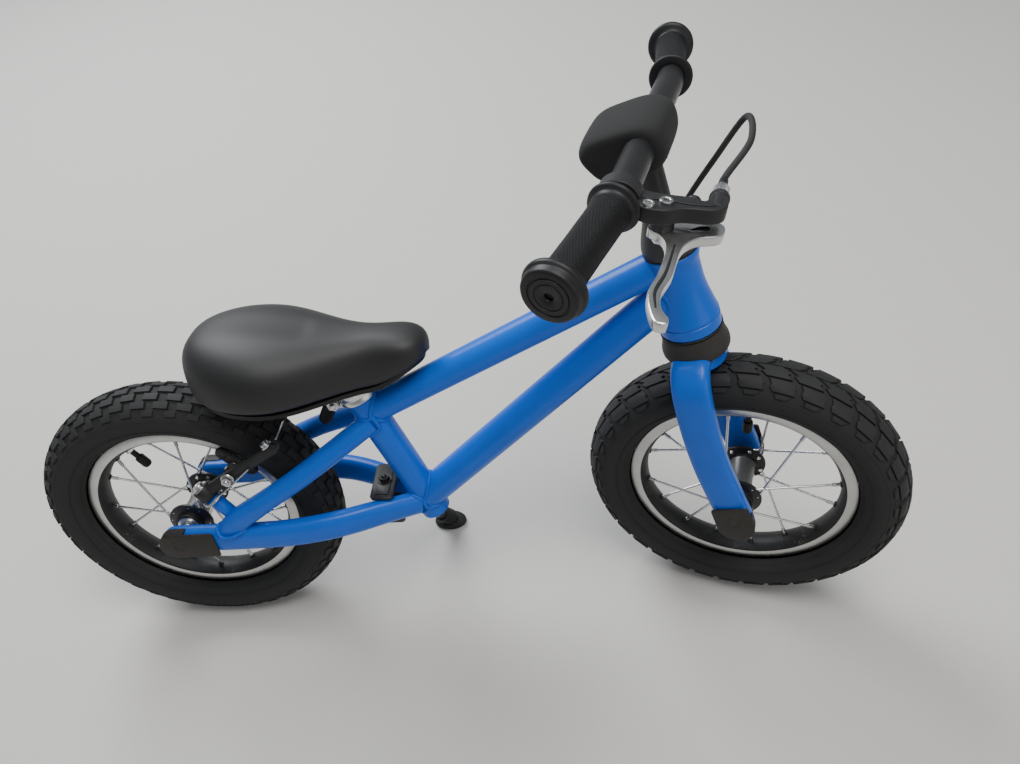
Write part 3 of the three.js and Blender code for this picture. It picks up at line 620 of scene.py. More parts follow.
@dataclass(frozen=True)
class Finish:
    """A surface's colour, gloss, grain and dirt."""

    name: str
    slot: str
    colour: tuple[float, float, float]
    rough: float = 0.5
    metal: float = 0.0
    grain: Grain = Grain.FINE
    depth: float = 0.00004
    pitch: float = 0.0012
    dirt: tuple[float, float, float] = (0.16, 0.14, 0.12)
    dust: float = 0.0
    coat: float = 0.0
    specular: float = 0.35
    mottle: float = 0.08

    def material(self) -> bpy.types.Material:
        """The finish's material, made the first time that it is asked for."""
        ready = bpy.data.materials.get(self.name)
        return ready if ready else self.dress(Tree(self.name))

    def dress(self, tree: Tree) -> bpy.types.Material:
        """Builds the finish's nodes and returns the material."""
        cloud = tree.noise(35, 4)
        speck = tree.noise(420, 3)
        dim, bright = ([c * (1 + way * self.mottle) for c in self.colour] for way in (-1, 1))
        shade = tree.blend(cloud.fade(0.35, 0.7), dim, bright)
        low, high = 0.86 - 0.5 * self.dust, 1.06 - 0.4 * self.dust
        dusty = (cloud * 0.6 + speck * 0.5).fade(low, high) * min(1, self.dust * 2)
        if self.dust:
            shade = tree.blend(dusty, shade, self.dirt)
        shade = self.stain(tree, shade)
        tree.feed(tree.shader.inputs["Base Color"], shade)
        gloss = self.rough + (cloud - 0.5) * (2 * self.mottle) + (speck - 0.5) * self.mottle
        if self.dust:
            gloss = gloss + dusty * 0.25
        tree.feed(tree.shader.inputs["Roughness"], gloss)
        tree.shader.inputs["Metallic"].default_value = self.metal
        tree.shader.inputs["Specular IOR Level"].default_value = self.specular
        if self.coat:
            tree.shader.inputs["Coat Weight"].default_value = self.coat
            tree.shader.inputs["Coat Roughness"].default_value = 0.18
        tree.feed(tree.shader.inputs["Normal"], self.relief(tree))
        return tree.material

    def stain(self, tree: Tree, shade: object) -> object:
        """The colour with any marks that the finish has."""
        return shade

    def relief(self, tree: Tree) -> bpy.types.NodeSocket:
        """The normal with the finish's grain."""
        if self.grain is Grain.ORANGE_PEEL:
            height = tree.noise(260, 2) * 0.8 + tree.noise(900, 2) * 0.2
        elif self.grain is Grain.MOULDED:
            height = tree.noise(1500, 3) * 0.7 + tree.noise(200, 3) * 0.3
        elif self.grain is Grain.LEATHER:
            height = tree.cells(760, "DISTANCE_TO_EDGE").fade(0.0, 0.22) * 0.7 + tree.noise(1900, 2) * 0.3
        elif self.grain is Grain.TURNED:
            x, y, _ = tree.parts(tree.place())
            radius = (x * x + y * y) ** 0.5
            height = tree.noise(1, 5, 0.8, vector=self.line(tree, radius, 2600))
        elif self.grain is Grain.ALONG:
            u, v, _ = tree.parts(tree.place(surface=True))
            height = tree.noise(1, 4, 0.7, vector=self.line(tree, u, 90, v, 12))
        elif self.grain in (Grain.HATCH, Grain.KNURL):
            u, v, _ = tree.parts(tree.place(surface=True))
            turns = 2 * math.pi * (44 if self.grain is Grain.HATCH else 30)
            lean = 2 * math.pi / self.pitch
            one = (u * turns + v * lean).sine()
            two = (u * turns - v * lean).sine()
            height = (one * two).fade(-0.2, 0.5) if self.grain is Grain.KNURL else (one.size() * two.size())
        elif self.grain is Grain.THREAD:
            _, v, _ = tree.parts(tree.place(surface=True))
            height = (v * (2 * math.pi / self.pitch)).sine() * 0.5 + 0.5
        else:
            height = tree.noise(700, 4)
        return tree.bump(height, self.depth)

    @staticmethod
    def line(tree: Tree, x: Wire, stretch_x: float, y: Number = 0.0,
             stretch_y: float = 1.0) -> bpy.types.NodeSocket:
        """A texture place that is stretched along two numbers."""
        across = y * stretch_y if isinstance(y, Wire) else y
        return tree.node("ShaderNodeCombineXYZ", {}, {0: x * stretch_x, 1: across}).outputs[0]


@dataclass(frozen=True)
class Paint(Finish):
    """Powder coat with chips down to grey primer, and scuffs that show paler."""

    chips: float = 0.4

    def stain(self, tree: Tree, shade: object) -> object:
        """Adds scattered chips and fine scratches."""
        spot = tree.cells(120).fade(0.13, 0.05) * tree.noise(30, 2).fade(0.66 - 0.1 * self.chips, 0.72)
        scratch = tree.noise(1, 6, 0.7, vector=self.line(tree, tree.parts(tree.place())[0], 60,
                                                         tree.parts(tree.place())[2], 900)).fade(0.72, 0.78)
        pale = tree.blend(scratch * 0.35, shade, [min(1, c * 1.5 + 0.06) for c in self.colour])
        return tree.blend(spot * self.chips * 2, pale, (0.34, 0.36, 0.40))


@dataclass(frozen=True)
class Emblem(Finish):
    """A soft cover with a plain raised oval ring on its top."""

    centre: Pair = (-0.008, 0.0)
    radii: Pair = (0.017, 0.013)

    def relief(self, tree: Tree) -> bpy.types.NodeSocket:
        """Adds the ring to the cover's own grain."""
        x, y, z = tree.parts(tree.place())
        dx, dy = (x - self.centre[0]) / self.radii[0], (y - self.centre[1]) / self.radii[1]
        reach = (dx * dx + dy * dy) ** 0.5
        ring = (reach - 1).size().fade(0.16, 0.05) * z.fade(0.368, 0.372)
        return tree.bump(ring, 0.0007, super().relief(tree))


BLUE = Paint("blue_powder_coat", "frame_paint", (0.0, 0.112, 0.60), 0.36, 0.0, Grain.ORANGE_PEEL, 0.00006,
             coat=0.12, specular=0.25, mottle=0.03, chips=0.3)
BEAD = Finish("blue_weld", "frame_paint", (0.0, 0.105, 0.56), 0.42, 0.0, Grain.FINE, 0.00008, specular=0.3)
BLACK_COAT = Finish("black_coat", "dark_metal", (0.012, 0.012, 0.013), 0.42, 0.0, Grain.FINE, 0.00003,
                    coat=0.15)
BRACKET = Finish("black_bracket", "dark_metal", (0.017, 0.017, 0.018), 0.5, 0.0, Grain.MOULDED, 0.00005)
ARM = Finish("grey_arm", "dark_metal", (0.022, 0.022, 0.023), 0.5, 0.2, Grain.MOULDED, 0.00005, dust=0.2)
COVER = Finish("scuffed_cover", "dark_plastic", (0.022, 0.018, 0.015), 0.55, 0.0, Grain.MOULDED, 0.0001,
               dust=0.5)
DOME = Finish("speckled_dome", "dark_plastic", (0.03, 0.03, 0.031), 0.5, 0.0, Grain.MOULDED, 0.00008,
              dust=0.35)
BUMPER = Finish("bumper_rubber", "dark_plastic", (0.032, 0.028, 0.025), 0.62, 0.0, Grain.MOULDED, 0.00006,
                dust=0.3)
SEAL = Finish("black_seal", "dark_plastic", (0.008, 0.008, 0.008), 0.5)
TYRE = Finish("tyre_rubber", "tyre_rubber", (0.014, 0.014, 0.0145), 0.72, 0.0, Grain.MOULDED, 0.0002,
              dust=0.42,
              dirt=(0.085, 0.078, 0.07), specular=0.35)
TREAD = Finish("tread_rubber", "tyre_rubber", (0.021, 0.021, 0.0215), 0.7, 0.0, Grain.MOULDED, 0.0002,
               dust=0.3,
               dirt=(0.075, 0.07, 0.064), specular=0.35)
GRIP = Finish("hatched_grip", "rubber", (0.005, 0.005, 0.0055), 0.58, 0.0, Grain.HATCH, 0.0004, 0.0042,
              specular=0.25)
GRIP_SMOOTH = Finish("smooth_grip", "rubber", (0.01, 0.01, 0.011), 0.45, 0.0, Grain.MOULDED, 0.00004)
SHOE = Finish("brake_shoe", "rubber", (0.03, 0.03, 0.031), 0.75, 0.0, Grain.MOULDED, 0.0001, dust=0.5)
BOOT = Finish("stand_boot", "rubber", (0.013, 0.013, 0.013), 0.6, 0.0, Grain.MOULDED, 0.00008, dust=0.3)
TRACK = Finish("rim_track", "alloy", (0.5, 0.5, 0.49), 0.3, 1.0, Grain.TURNED, 0.00012, dust=0.25,
               dirt=(0.2, 0.18, 0.16))
# Black of the rim's inside; the brake lever's blade also uses it for its painted shade.
RIM_BLACK = Finish("black_rim", "alloy", (0.014, 0.014, 0.014), 0.5, 0.0, Grain.FINE, dust=0.5)
ALLOY = Finish("polished_lever", "alloy", (0.66, 0.66, 0.65), 0.3, 1.0, Grain.FINE, 0.00003)
STEEL = Finish("bright_steel", "steel", (0.58, 0.58, 0.57), 0.28, 1.0, Grain.FINE, 0.00004)
SPOKE = Finish("spoke_steel", "dark_metal", (0.78, 0.78, 0.77), 0.25, 1.0)
ZINC = Finish("zinc_steel", "steel", (0.5, 0.5, 0.49), 0.36, 1.0, Grain.FINE, 0.00008, dust=0.2)
KNURLED = Finish("knurled_steel", "steel", (0.58, 0.58, 0.57), 0.3, 1.0, Grain.KNURL, 0.0005, 0.0022)
THREADED = Finish("threaded_steel", "steel", (0.5, 0.5, 0.49), 0.34, 1.0, Grain.THREAD, 0.0004, 0.001)
POST = Finish("seat_post_steel", "steel", (0.6, 0.6, 0.59), 0.22, 1.0, Grain.ALONG, 0.00003)
BRASS = Finish("brass_bush", "steel", (0.62, 0.42, 0.2), 0.35, 1.0)
HUB_BARREL = Finish("hub_barrel", "dark_metal", (0.16, 0.16, 0.155), 0.42, 0.8, Grain.FINE, dust=0.3)
HOUSING = Finish("cable_jacket", "cable_jacket", (0.009, 0.009, 0.009), 0.36, 0.0, Grain.FINE, 0.00002)
VINYL = Finish("saddle_vinyl", "saddle_vinyl", (0.0035, 0.0035, 0.0037), 0.5, 0.0, Grain.LEATHER, 0.00016,
               specular=0.14)
PLASTIC = Finish("saddle_shell", "dark_plastic", (0.012, 0.0115, 0.011), 0.55, 0.0, Grain.MOULDED, 0.00006,
                 dust=0.3)
PAD_TOP = Emblem("pad_cover", "pad_cover", (0.005, 0.005, 0.0055), 0.5, 0.0, Grain.MOULDED, 0.00005,
                 specular=0.15)
STAND = Finish("stand_leg", "dark_metal", (0.05, 0.05, 0.05), 0.4, 0.6, Grain.FINE, 0.00004, dust=0.25)
FLOOR = Finish("pale_floor", "dark_plastic", (0.62, 0.60, 0.57), 0.7, 0.0, Grain.FINE, 0.00001,
               mottle=0.004)


# ---------------------------------------------------------------- the bike's frames
class Layout:
    """The bike's local frames, in metres, worked out from its joints."""

    TYRE_RADIUS = 0.152
    FORK_AHEAD = 0.007
    FORK_DROP = 0.00023
    BAR_PLACE = (6.0, 0.0, 366.0)

    def __init__(self, joints: Sequence[dict]) -> None:
        """Reads the joints' places and axes."""
        self.joint = {j["name"]: j for j in joints}
        across, ahead = self.axis("rear_wheel_spin"), Vector((1, 0, 0))
        up = ahead.cross(across)
        self.leaned = basis(self.spot("rear_wheel_spin") - up * self.TYRE_RADIUS, ahead, across, up)
        mast = self.axis("steering")
        turned = self.axis("front_wheel_spin")
        front = turned.cross(mast)
        foot = self.spot("front_wheel_spin") - front * self.FORK_AHEAD + mast * self.FORK_DROP
        self.steered = basis(foot, front, turned, mast)
        self.head = basis(foot, across.cross(mast), across, mast)
        normal = -self.axis("brake_lever_pull")
        reach = turned.cross(normal)
        pivot = self.spot("brake_lever_pull") - reach * 0.030 + turned * 0.101
        self.lever = basis(pivot, reach, turned, normal)
        square = -self.axis("left_brake_arm_close")
        self.brake = basis(self.spot("left_brake_arm_close") - across * 0.043, across.cross(square), across,
                           square)

    def axis(self, name: str) -> Vector:
        """A joint's axis."""
        return Vector(self.joint[name]["axis"]).normalized()

    def spot(self, name: str) -> Vector:
        """A joint's place."""
        return Vector(self.joint[name]["pos_m"])

    def wheel(self, name: str, parent: Matrix, valve: float) -> Matrix:
        """A wheel's frame, with Z along its axle and X towards its valve.

        Args:
            name: the wheel's joint.
            parent: the frame that the valve's angle is counted in.
            valve: the valve's angle in degrees, backwards from straight down.

        Returns:
            The frame's matrix.
        """
        turn = math.radians(valve)
        x = -(parent.col[0].to_3d() * math.sin(turn) + parent.col[2].to_3d() * math.cos(turn))
        z = self.axis(name)
        return basis(self.spot(name), x, z.cross(x), z)

    @staticmethod
    def local(matrix: Matrix) -> Matrix:
        """A frame's matrix with its place in millimetres."""
        scaled = matrix.copy()
        scaled.translation = matrix.translation / MM
        return scaled

    def between(self, source: Matrix, target: Matrix) -> Matrix:
        """Takes millimetre points of one frame to another."""
        return self.local(target).inverted() @ self.local(source)


@dataclass
class FrameSet:
    """The welded frame with its axle and its covers."""

    layout: Layout
    seat_angle: float = 71.5
    seat_foot: tuple[float, float, float] = (241, 0, 149)
    seat_radius: float = 15.0
    down_ends: tuple[tuple[float, float, float], ...] = ((243, 0, 153), (486, 0, 378))
    down_radius: float = 15.9
    top_front: tuple[float, float, float] = (478, 0, 401.5)
    top_radius: float = 14.3
    stay_half: float = 48.0
    stay_size: Pair = (18.0, 30.0)
    seat_stay_radius: float = 10.5

    def __post_init__(self) -> None:
        """Works out the tubes' directions."""
        angle = math.radians(self.seat_angle)
        self.seat_up = vec(-math.cos(angle), 0, math.sin(angle))
        head = self.layout.between(self.layout.head, self.layout.leaned)
        self.head_base, self.head_up = head.translation.copy(), head.col[2].to_3d()

    def on_seat(self, up: float) -> Vector:
        """A point on the seat tube's axis."""
        return Vector(self.seat_foot) + self.seat_up * up

    def build(self) -> None:
        """Makes every piece of the frame."""
        self.head_tube()
        self.main_tubes()
        for name, side in (("left", 1), ("right", -1)):
            self.stays(name, side)
            self.dropout_cover(name, side)
        self.axle()

    def head_tube(self) -> None:
        """The flared head tube and its black seals."""
        profile = [(18.6, 262), (18.6, 268), (21.9, 268), (22.5, 267.4), (22.5, 264.4), (21.9, 262),
                   (20.8, 259),
                   (20.5, 255), (20.5, 240), (20.9, 234), (21.9, 227), (23.3, 219.5), (24.6, 213),
                   (25.8, 207.8),
                   (26.4, 206), (26.4, 204.6), (25.7, 204), (25.7, 203), (26.4, 202.4), (26.4, 194),
                   (25.8, 193.2),
                   (22.2, 193.2), (22.2, 200)]
        place = self.layout.head
        Studio.piece("head_tube_shell", lathe(profile, 64), place, "frame", [BLUE], ["head_tube"], sharp=35)
        seals = Shape()
        seals.add(lathe([(19, 268.1), (22.1, 268.1), (22.7, 268.7), (22.4, 269.4), (19, 269.4)], 48))
        seals.add(lathe([(22, 190.9), (26.2, 190.9), (27.0, 191.6), (27.0, 192.6), (26.2, 193.1),
                         (22, 193.1)], 48))
        seals.add(lathe([(13.2, 262.5), (18.4, 262.5), (18.4, 267.6), (13.2, 267.6)], 32))
        Studio.piece("head_seals", seals, place, "frame", [SEAL],
                     ["lower_head_bearing", "upper_head_bearing"])

    def circle_on(self, middle: Vector, along: Vector, radius: float, sides: int = 40) -> list[Vector]:
        """Points round a tube."""
        z = along.normalized()
        x = vec(0, 1, 0)
        y = z.cross(x)
        turns = full_turn(sides)
        return [middle + x * (radius * math.cos(t)) + y * (radius * math.sin(t)) for t in turns]

    def main_tubes(self) -> None:
        """The down, top and seat tubes, with their beads."""
        place = self.layout.leaned
        start, end = (Vector(p) for p in self.down_ends)
        top_start, top_end = self.on_seat(121), Vector(self.top_front)
        Studio.piece("down_tube_shell", rod(start, end, self.down_radius, 64), place, "frame", [BLUE],
                     ["down_tube"])
        Studio.piece("top_tube_shell", rod(top_start, top_end, self.top_radius, 64), place, "frame", [BLUE],
                     ["top_tube"])
        r = self.seat_radius
        tube = lathe([(r - 2, 0), (r - 2, 171), (r - 0.4, 171), (r, 170.6), (r, 0.5), (r - 0.5, 0),
                      (r - 2, 0)], 64)
        Studio.piece("seat_tube_shell", Shape().add(tube, aimed(self.on_seat(-19), self.seat_up)), place,
                     "frame",
                     [BLUE], ["seat_tube"])
        beads = Shape()
        down, top = end - start, top_end - top_start
        beads.add(weld_bead(self.circle_on(start, down, self.down_radius), down * -1,
                            self.on_seat(0), self.seat_up, r))
        beads.add(weld_bead(self.circle_on(top_start, top, self.top_radius), top * -1,
                            self.on_seat(0), self.seat_up, r))
        beads.add(weld_bead(self.circle_on(start, down, self.down_radius), down, self.head_base,
                            self.head_up,
                            20.5))
        beads.add(weld_bead(self.circle_on(top_start, top, self.top_radius), top, self.head_base,
                            self.head_up,
                            20.5))
        Studio.piece("main_beads", beads, place, "frame", [BEAD], sharp=70)

    def stays(self, name: str, side: int) -> None:
        """One side's chain stay, seat stay, brake boss and beads."""
        place = self.layout.leaned
        half, (thick, tall) = self.stay_half, self.stay_size
        points = [vec(x, side * y, z) for x, y, z in ((-4, half, 152), (28, half, 152), (60, half, 152),
                                                      (112, 47.5, 153.5), (155, 41, 155), (200, 24, 153),
                                                      (234, 9, 149))]
        path, sections = spline(points, 6), []
        for k in range(7):
            turn = math.pi / 2 * (1 - k / 7)
            path.insert(k, vec(-4 - 15 * math.sin(turn) * 0.98, side * half, 152))
            sections.append(oval(thick * (0.8 + 0.2 * math.cos(turn)), max(2.0, tall * math.cos(turn)), 32,
                                 2.6))
        for p in path[7:]:
            ease = smoothstep(p.x, 170, 235)
            sections.append(oval(thick, mixed(tall, 27, ease), 32, mixed(2.6, 2.1, ease)))
        stay = sweep(path, sections, vec(0, 1, 0))
        Studio.piece(f"chain_stay_shell_{name}", stay, place, "frame", [BLUE], [f"chain_stay_{name}"],
                     sharp=50)
        seat_points = [vec(x, side * y, z) for x, y,
                       z in ((48, 47.6, 158), (62, 47.5, 173), (92, 45.5, 193.5),
                                                           (133, 38, 217.5), (174, 22.5, 240.5),
                                                           (204, 8, 256))]
        seat_path = spline(seat_points, 6)
        r = self.seat_stay_radius
        seat_sections = []
        for p in seat_path:
            flat = 1 - smoothstep(p.x, 60, 110)
            seat_sections.append(oval(2 * r * (1 - 0.12 * flat), 2 * r * (1 + 0.12 * flat), 28,
                                      2 + 0.5 * flat))
        shape = sweep(seat_path, seat_sections, vec(0, 1, 0))
        to_leaned = self.layout.between(self.layout.brake, self.layout.leaned)
        boss = Shape().add(rod(vec(0, side * 43, -34), vec(0, side * 43, -7.4), 6.8, 32, 0.6))
        boss.add(lathe([(0, -12.5), (8.2, -12.5), (8.2, -8), (6.8, -7.6)], 32),
                 Matrix.Translation((0, side * 43, 0)))
        shape.add(boss, to_leaned)
        Studio.piece(f"seat_stay_shell_{name}", shape, place, "frame", [BLUE], [f"seat_stay_{name}"],
                     sharp=45)
        beads = Shape()
        beads.add(weld_bead([seat_path[-1] + o for o in self.ring_of(seat_path[-2], seat_path[-1], r)],
                            seat_path[-1] - seat_path[-2], self.on_seat(0), self.seat_up, self.seat_radius,
                            2.0))
        chain = [path[-1] + o for o in self.ring_of(path[-2], path[-1], tall / 2 - 2, 9.4)]
        beads.add(weld_bead(chain, path[-1] - path[-2], self.on_seat(0), self.seat_up, self.seat_radius,
                            2.0))
        foot = [seat_path[1] + o for o in self.ring_of(seat_path[0], seat_path[1], r * 1.1)]
        low = vec(0, side * half, 152)
        beads.add(weld_bead(foot, seat_path[0] - seat_path[1], low, vec(1, 0, 0), 14.6, 1.9))
        Studio.piece(f"stay_beads_{name}", beads, place, "frame", [BEAD], sharp=70)

    @staticmethod
    def ring_of(before: Vector, after: Vector, tall: float, wide: Optional[float] = None) -> list[Vector]:
        """Steps from a path's middle to its surface."""
        along = (after - before).normalized()
        first = (vec(0, 1, 0) - along * along.y).normalized()
        second = along.cross(first)
        wide = tall if wide is None else wide
        turns = full_turn(32)
        return [first * (wide * math.cos(t)) + second * (tall * math.sin(t)) for t in turns]

    def dropout_cover(self, name: str, side: int) -> None:
        """The moulded cover over one end of the rear axle."""
        out, along = vec(0, side, 0), vec(1, 0, 0)
        middle = vec(-4, side * (self.stay_half + self.stay_size[0] / 2 + 1.4), 152)
        shape = Shape().add(moulded_cover(self.stay_size[1] / 2 + 0.9, 42, 4),
                            basis(middle, along.cross(out), along, out))
        Studio.piece(f"dropout_cover_shell_{name}", shape, self.layout.leaned, "frame", [COVER],
                     [f"dropout_cover_{name}"])

    def axle(self) -> None:
        """The rear axle with its spacers and cone nuts."""
        Studio.piece("rear_axle_shaft", axle_shape(54, 38),
                     self.layout.wheel("rear_wheel_spin", self.layout.leaned, 0),
                     "frame", [ZINC], ["rear_axle"])


def axle_shape(half: float, spacer_end: float) -> Shape:
    """An axle along Z with its two spacers and cone nuts."""
    shape = rod(vec(0, 0, -half), vec(0, 0, half), 4.8, 24, 0.8)
    for side in (-1, 1):
        cone = lathe([(4.8, 31.4), (8.0, 31.4), (8.2, 31.8), (8.2, spacer_end - 3.4), (7, spacer_end - 3),
                      (7.6,
                     spacer_end - 2.6), (7.6, spacer_end), (4.8, spacer_end)], 36, hexed=(5, 6))
        flip = Matrix.Diagonal((1, side, side, 1))
        shape.add(cone, flip)
    return shape


def moulded_cover(radius: float, length: float, axle: float) -> Shape:
    """A cover that wraps a tube's round end.

    Args:
        radius: its round end's radius.
        length: how far it reaches along +Y from the round end's middle.
        axle: how far the axle is along +Y.

    Returns:
        The cover, with its face towards +Z.
    """
    depth, wall, reach = 9.0, 0.8, 12.0
    turns = [math.pi + math.pi * k / 20 for k in range(21)]
    outer = [(radius * math.cos(t), radius * math.sin(t)) for t in turns]
    inner = [(x * (1 - wall / radius), y * (1 - wall / radius)) for x, y in reversed(outer)]
    far = [(radius, length - 3), (radius - 0.8, length - 0.8), (radius - 3, length)]
    shape = flat_piece([*outer, *far, *[(-x, y) for x, y in reversed(far)]], 2.2, 0.8)
    skirt = [(-radius, reach), *outer, (radius, reach), (radius - wall, reach), *inner,
             (wall - radius, reach)]
    shape.add(flat_piece(skirt, depth, 0.2), Matrix.Translation((0, 0, -depth / 2)))
    ring = [(4.6, 0.9), (5.0, 1.5), (6.6, 1.5), (7.0, 0.9)]
    return shape.add(lathe(ring, 40), Matrix.Translation((0, axle, 0)))


# ---------------------------------------------------------------- wheels and fork
class Tread(Enum):
    """The two tyres' patterns."""

    CHEVRON = "chevron"
    KNOB = "knob"


@dataclass
class Wheel:
    """A tyre, its rim, hub, spokes and valve, in a frame with Z along the axle and X towards the valve."""

    layout: Layout
    prefix: str
    parent: Matrix
    valve: float
    tread: Tread
    spokes: int = 16
    casing: tuple[float, float, float] = (127.0, 22.4, 27.2)

    def build(self) -> None:
        """Makes every piece of the wheel."""
        aimed_wheel = self.layout.wheel(f"{self.prefix}_wheel_spin", self.parent, self.valve)
        self.place = aimed(aimed_wheel.translation, aimed_wheel.col[2].to_3d(), vec(0, 0, -1))
        self.turned = self.place.inverted() @ aimed_wheel
        self.body = f"{self.prefix}_wheel"
        self.tyre()
        self.rim()
        self.hub()
        self.valve_stem()

    def show(self, name: str, shape: Shape, finishes: Sequence[Finish], nodes: Sequence[str] = (),
             sharp: float = 40.0) -> None:
        """Makes one of the wheel's pieces, turned so that the valve is in its place."""
        Studio.piece(f"{self.prefix}_{name}", Shape().add(shape, self.turned), self.place, self.body,
                     finishes,
                     [f"{self.prefix}_{node}" for node in nodes], sharp=sharp)

    def on_tyre(self, turn: float, arc: float, raised: float = 0.0) -> Vector:
        """A point on the tyre.

        Args:
            turn: the angle round the axle, in radians.
            arc: the angle across the tyre in degrees, 90 at the middle of the tread.
            raised: how far it stands off the casing.

        Returns:
            The point.
        """
        middle, tall, wide = self.casing
        t = math.radians(arc)
        r = middle + (tall + raised) * math.sin(t)
        return vec(r * math.cos(turn), r * math.sin(turn), (wide + raised) * math.cos(t))

    def tyre(self) -> None:
        """The casing with its bead rings, the tread blocks and the vent hairs."""
        arcs = [-58, -48, -38, -28, -16, -4, 8, 20, 32, 44, 56, 68, 80, 90, 100, 112, 124, 136, 148, 160,
                172, 184,
                196, 208, 218, 228, 238]
        rows = []
        for arc in arcs:
            lift = 0.7 if arc in (-38, 218) else (0.5 if arc in (8, 172) else 0.0)
            rows.append([self.on_tyre(t, arc, lift) for t in full_turn(120)])
        shape = Shape().sheet(rows)
        for side in (-1, 1):
            for arc, size in ((-20, 0.45), (14, 0.35), (-44, 0.6)):
                line = [self.on_tyre(t, arc if side > 0 else 180 - arc, 0.1) for t in full_turn(120)]
                shape.add(sweep(line, [oval(2 * size, 2 * size, 6)], vec(0, 0, 1), ends=False, loop=True))
        self.show("tyre_casing", shape, [TYRE], ["tyre"], 60)
        blocks = self.chevrons() if self.tread is Tread.CHEVRON else self.knobs()
        blocks.add(self.hairs())
        self.show("tread", blocks, [TREAD], sharp=35)

    def block(self, corners: Sequence[Pair], height: float, taper: float = 0.06) -> Shape:
        """A tread block.

        Args:
            corners: (turn, arc) pairs round its top, the turn in degrees.
            height: how far it stands off the casing.
            taper: how much smaller its top is than its foot.

        Returns:
            The block.
        """
        dense: list[Pair] = []
        for (t0, a0), (t1, a1) in zip(corners, [*corners[1:], corners[0]]):
            cuts = 3 if abs(a1 - a0) > 8 else 1
            dense += [(mixed(t0, t1, k / cuts), mixed(a0, a1, k / cuts)) for k in range(cuts)]
        ct = sum(t for t, _ in dense) / len(dense)
        ca = sum(a for _, a in dense) / len(dense)
        rows = []
        for raised, grow in ((-0.6, 1.0 + taper), (height - 0.35, 1.0), (height, 0.94)):
            rows.append([self.on_tyre(math.radians(ct + (t - ct) * grow), ca + (a - ca) * grow, raised)
                         for t, a in dense])
        shape = Shape().sheet(rows)
        start = len(shape.points) - len(dense)
        shape.points.append(self.on_tyre(math.radians(ct), ca, height))
        last = len(shape.points) - 1
        for k in range(len(dense)):
            shape.faces.append((start + k, start + (k + 1) % len(dense), last))
            shape.kinds.append(0)
            shape.places.append([(0.0, 0.0)] * 3)
        return shape

    def chevrons(self) -> Shape:
        """The front tread: slanted centre blocks with stepped sides, and shoulder blocks."""
        shape, count = Shape(), 34
        pitch = 360 / count
        for n in range(count):
            for side in (-1, 1):
                base = n * pitch + (pitch / 2 if side > 0 else 0)

                def at(turn: float, off: float) -> Pair:
                    return base + turn * pitch, 90 - side * off

                shape.add(self.block([at(0.0, 1.2), at(0.30, 13), at(0.20, 16), at(0.36, 25), at(1.14, 25),
                                      at(0.98, 16), at(1.06, 13), at(0.80, 1.2)], 2.2))
                shape.add(self.block([at(0.46, 28.5), at(0.56, 40), at(0.52, 44), at(0.60, 53),
                                      at(1.34, 53),
                                      at(1.28, 44), at(1.32, 40), at(1.22, 28.5)], 2.0))
                shape.add(self.block([at(0.70, 56.5), at(0.74, 66), at(1.12, 66), at(1.26, 56.5)], 1.3))
        return shape

    def knobs(self) -> Shape:
        """The rear tread: rows of square knobs, each row half a step on from the last."""
        shape, count = Shape(), 42
        pitch = 360 / count
        for n in range(count):
            for row, (low, high, long) in enumerate(((-8, 8, 0.66), (12, 27, 0.6), (31, 45, 0.62),
                                                     (49, 62, 0.5))):
                for side in (-1, 1):
                    if row == 0 and side > 0:
                        continue
                    start = (n + 0.5 * (row % 2)) * pitch
                    end = start + long * pitch
                    tall = 2.3 if row < 3 else 1.5
                    shape.add(self.block([(start, 90 - side * low), (start, 90 - side * high),
                                          (end, 90 - side * high), (end, 90 - side * low)], tall))
        return shape

    def hairs(self) -> Shape:
        """The moulding's vent hairs, on the shoulders."""
        chance = random.Random(7)
        shape = Shape()
        for n in range(46):
            arc = 90 + chance.choice((-1, 1)) * chance.uniform(52, 76)
            turn = math.radians(n * 360 / 46 + chance.uniform(-2, 2))
            foot, tip = self.on_tyre(turn, arc, 0.0), self.on_tyre(turn + 0.006, arc, 2.4)
            shape.add(rod(foot, tip, 0.28, 5))
        return shape

    def rim(self) -> None:
        """The rim, with machined tracks, black inside, and its spoke nipples."""
        half = [(107.2, 11.2), (107.2, 12.7), (106.8, 13.0), (97.2, 13.0), (96.6, 12.6), (95.6, 11.6),
                (93.4, 7.2),
                (92.2, 4.2), (92.0, 0)]
        other = [(r, -y) for r, y in reversed(half[:-1])]
        well = [(101.6, -10.4), (99.0, -4.4), (99.0, 4.4), (101.6, 10.4)]
        profile = half + other + well
        kinds = [1, 1, 0] + [1] * 10 + [0] + [1] * (len(profile) - 14)
        shape = lathe(profile, 120, kinds, loop=True)
        for n in range(self.spokes):
            start, end = self.spoke(n)
            along = (start - end).normalized()
            shape.add(rod(end - along * 1.5, end + along * 8.0, 1.75, 12, 0.4), kind=2)
            shape.add(lathe([(0, -1.2), (3.4, -1.2), (3.0, 0.6), (2, 0.8)], 16), aimed(end, along), 1)
        self.show("rim_shell", shape, [TRACK, RIM_BLACK, STEEL], ["rim"])

    def spoke(self, number: int) -> tuple[Vector, Vector]:
        """A spoke's two ends, at the hub's flange and at the rim."""
        side = 1 if number % 2 else -1
        lean = 1 if number % 4 < 2 else -1
        rim_turn = 2 * math.pi * (number + 0.5) / self.spokes
        hub_turn = rim_turn + math.radians(40) * lean
        start = vec(math.cos(hub_turn) * 18.5, -math.sin(hub_turn) * 18.5, side * 22.9)
        end = vec(math.cos(rim_turn) * 91.8, -math.sin(rim_turn) * 91.8, side * 3)
        return start, end

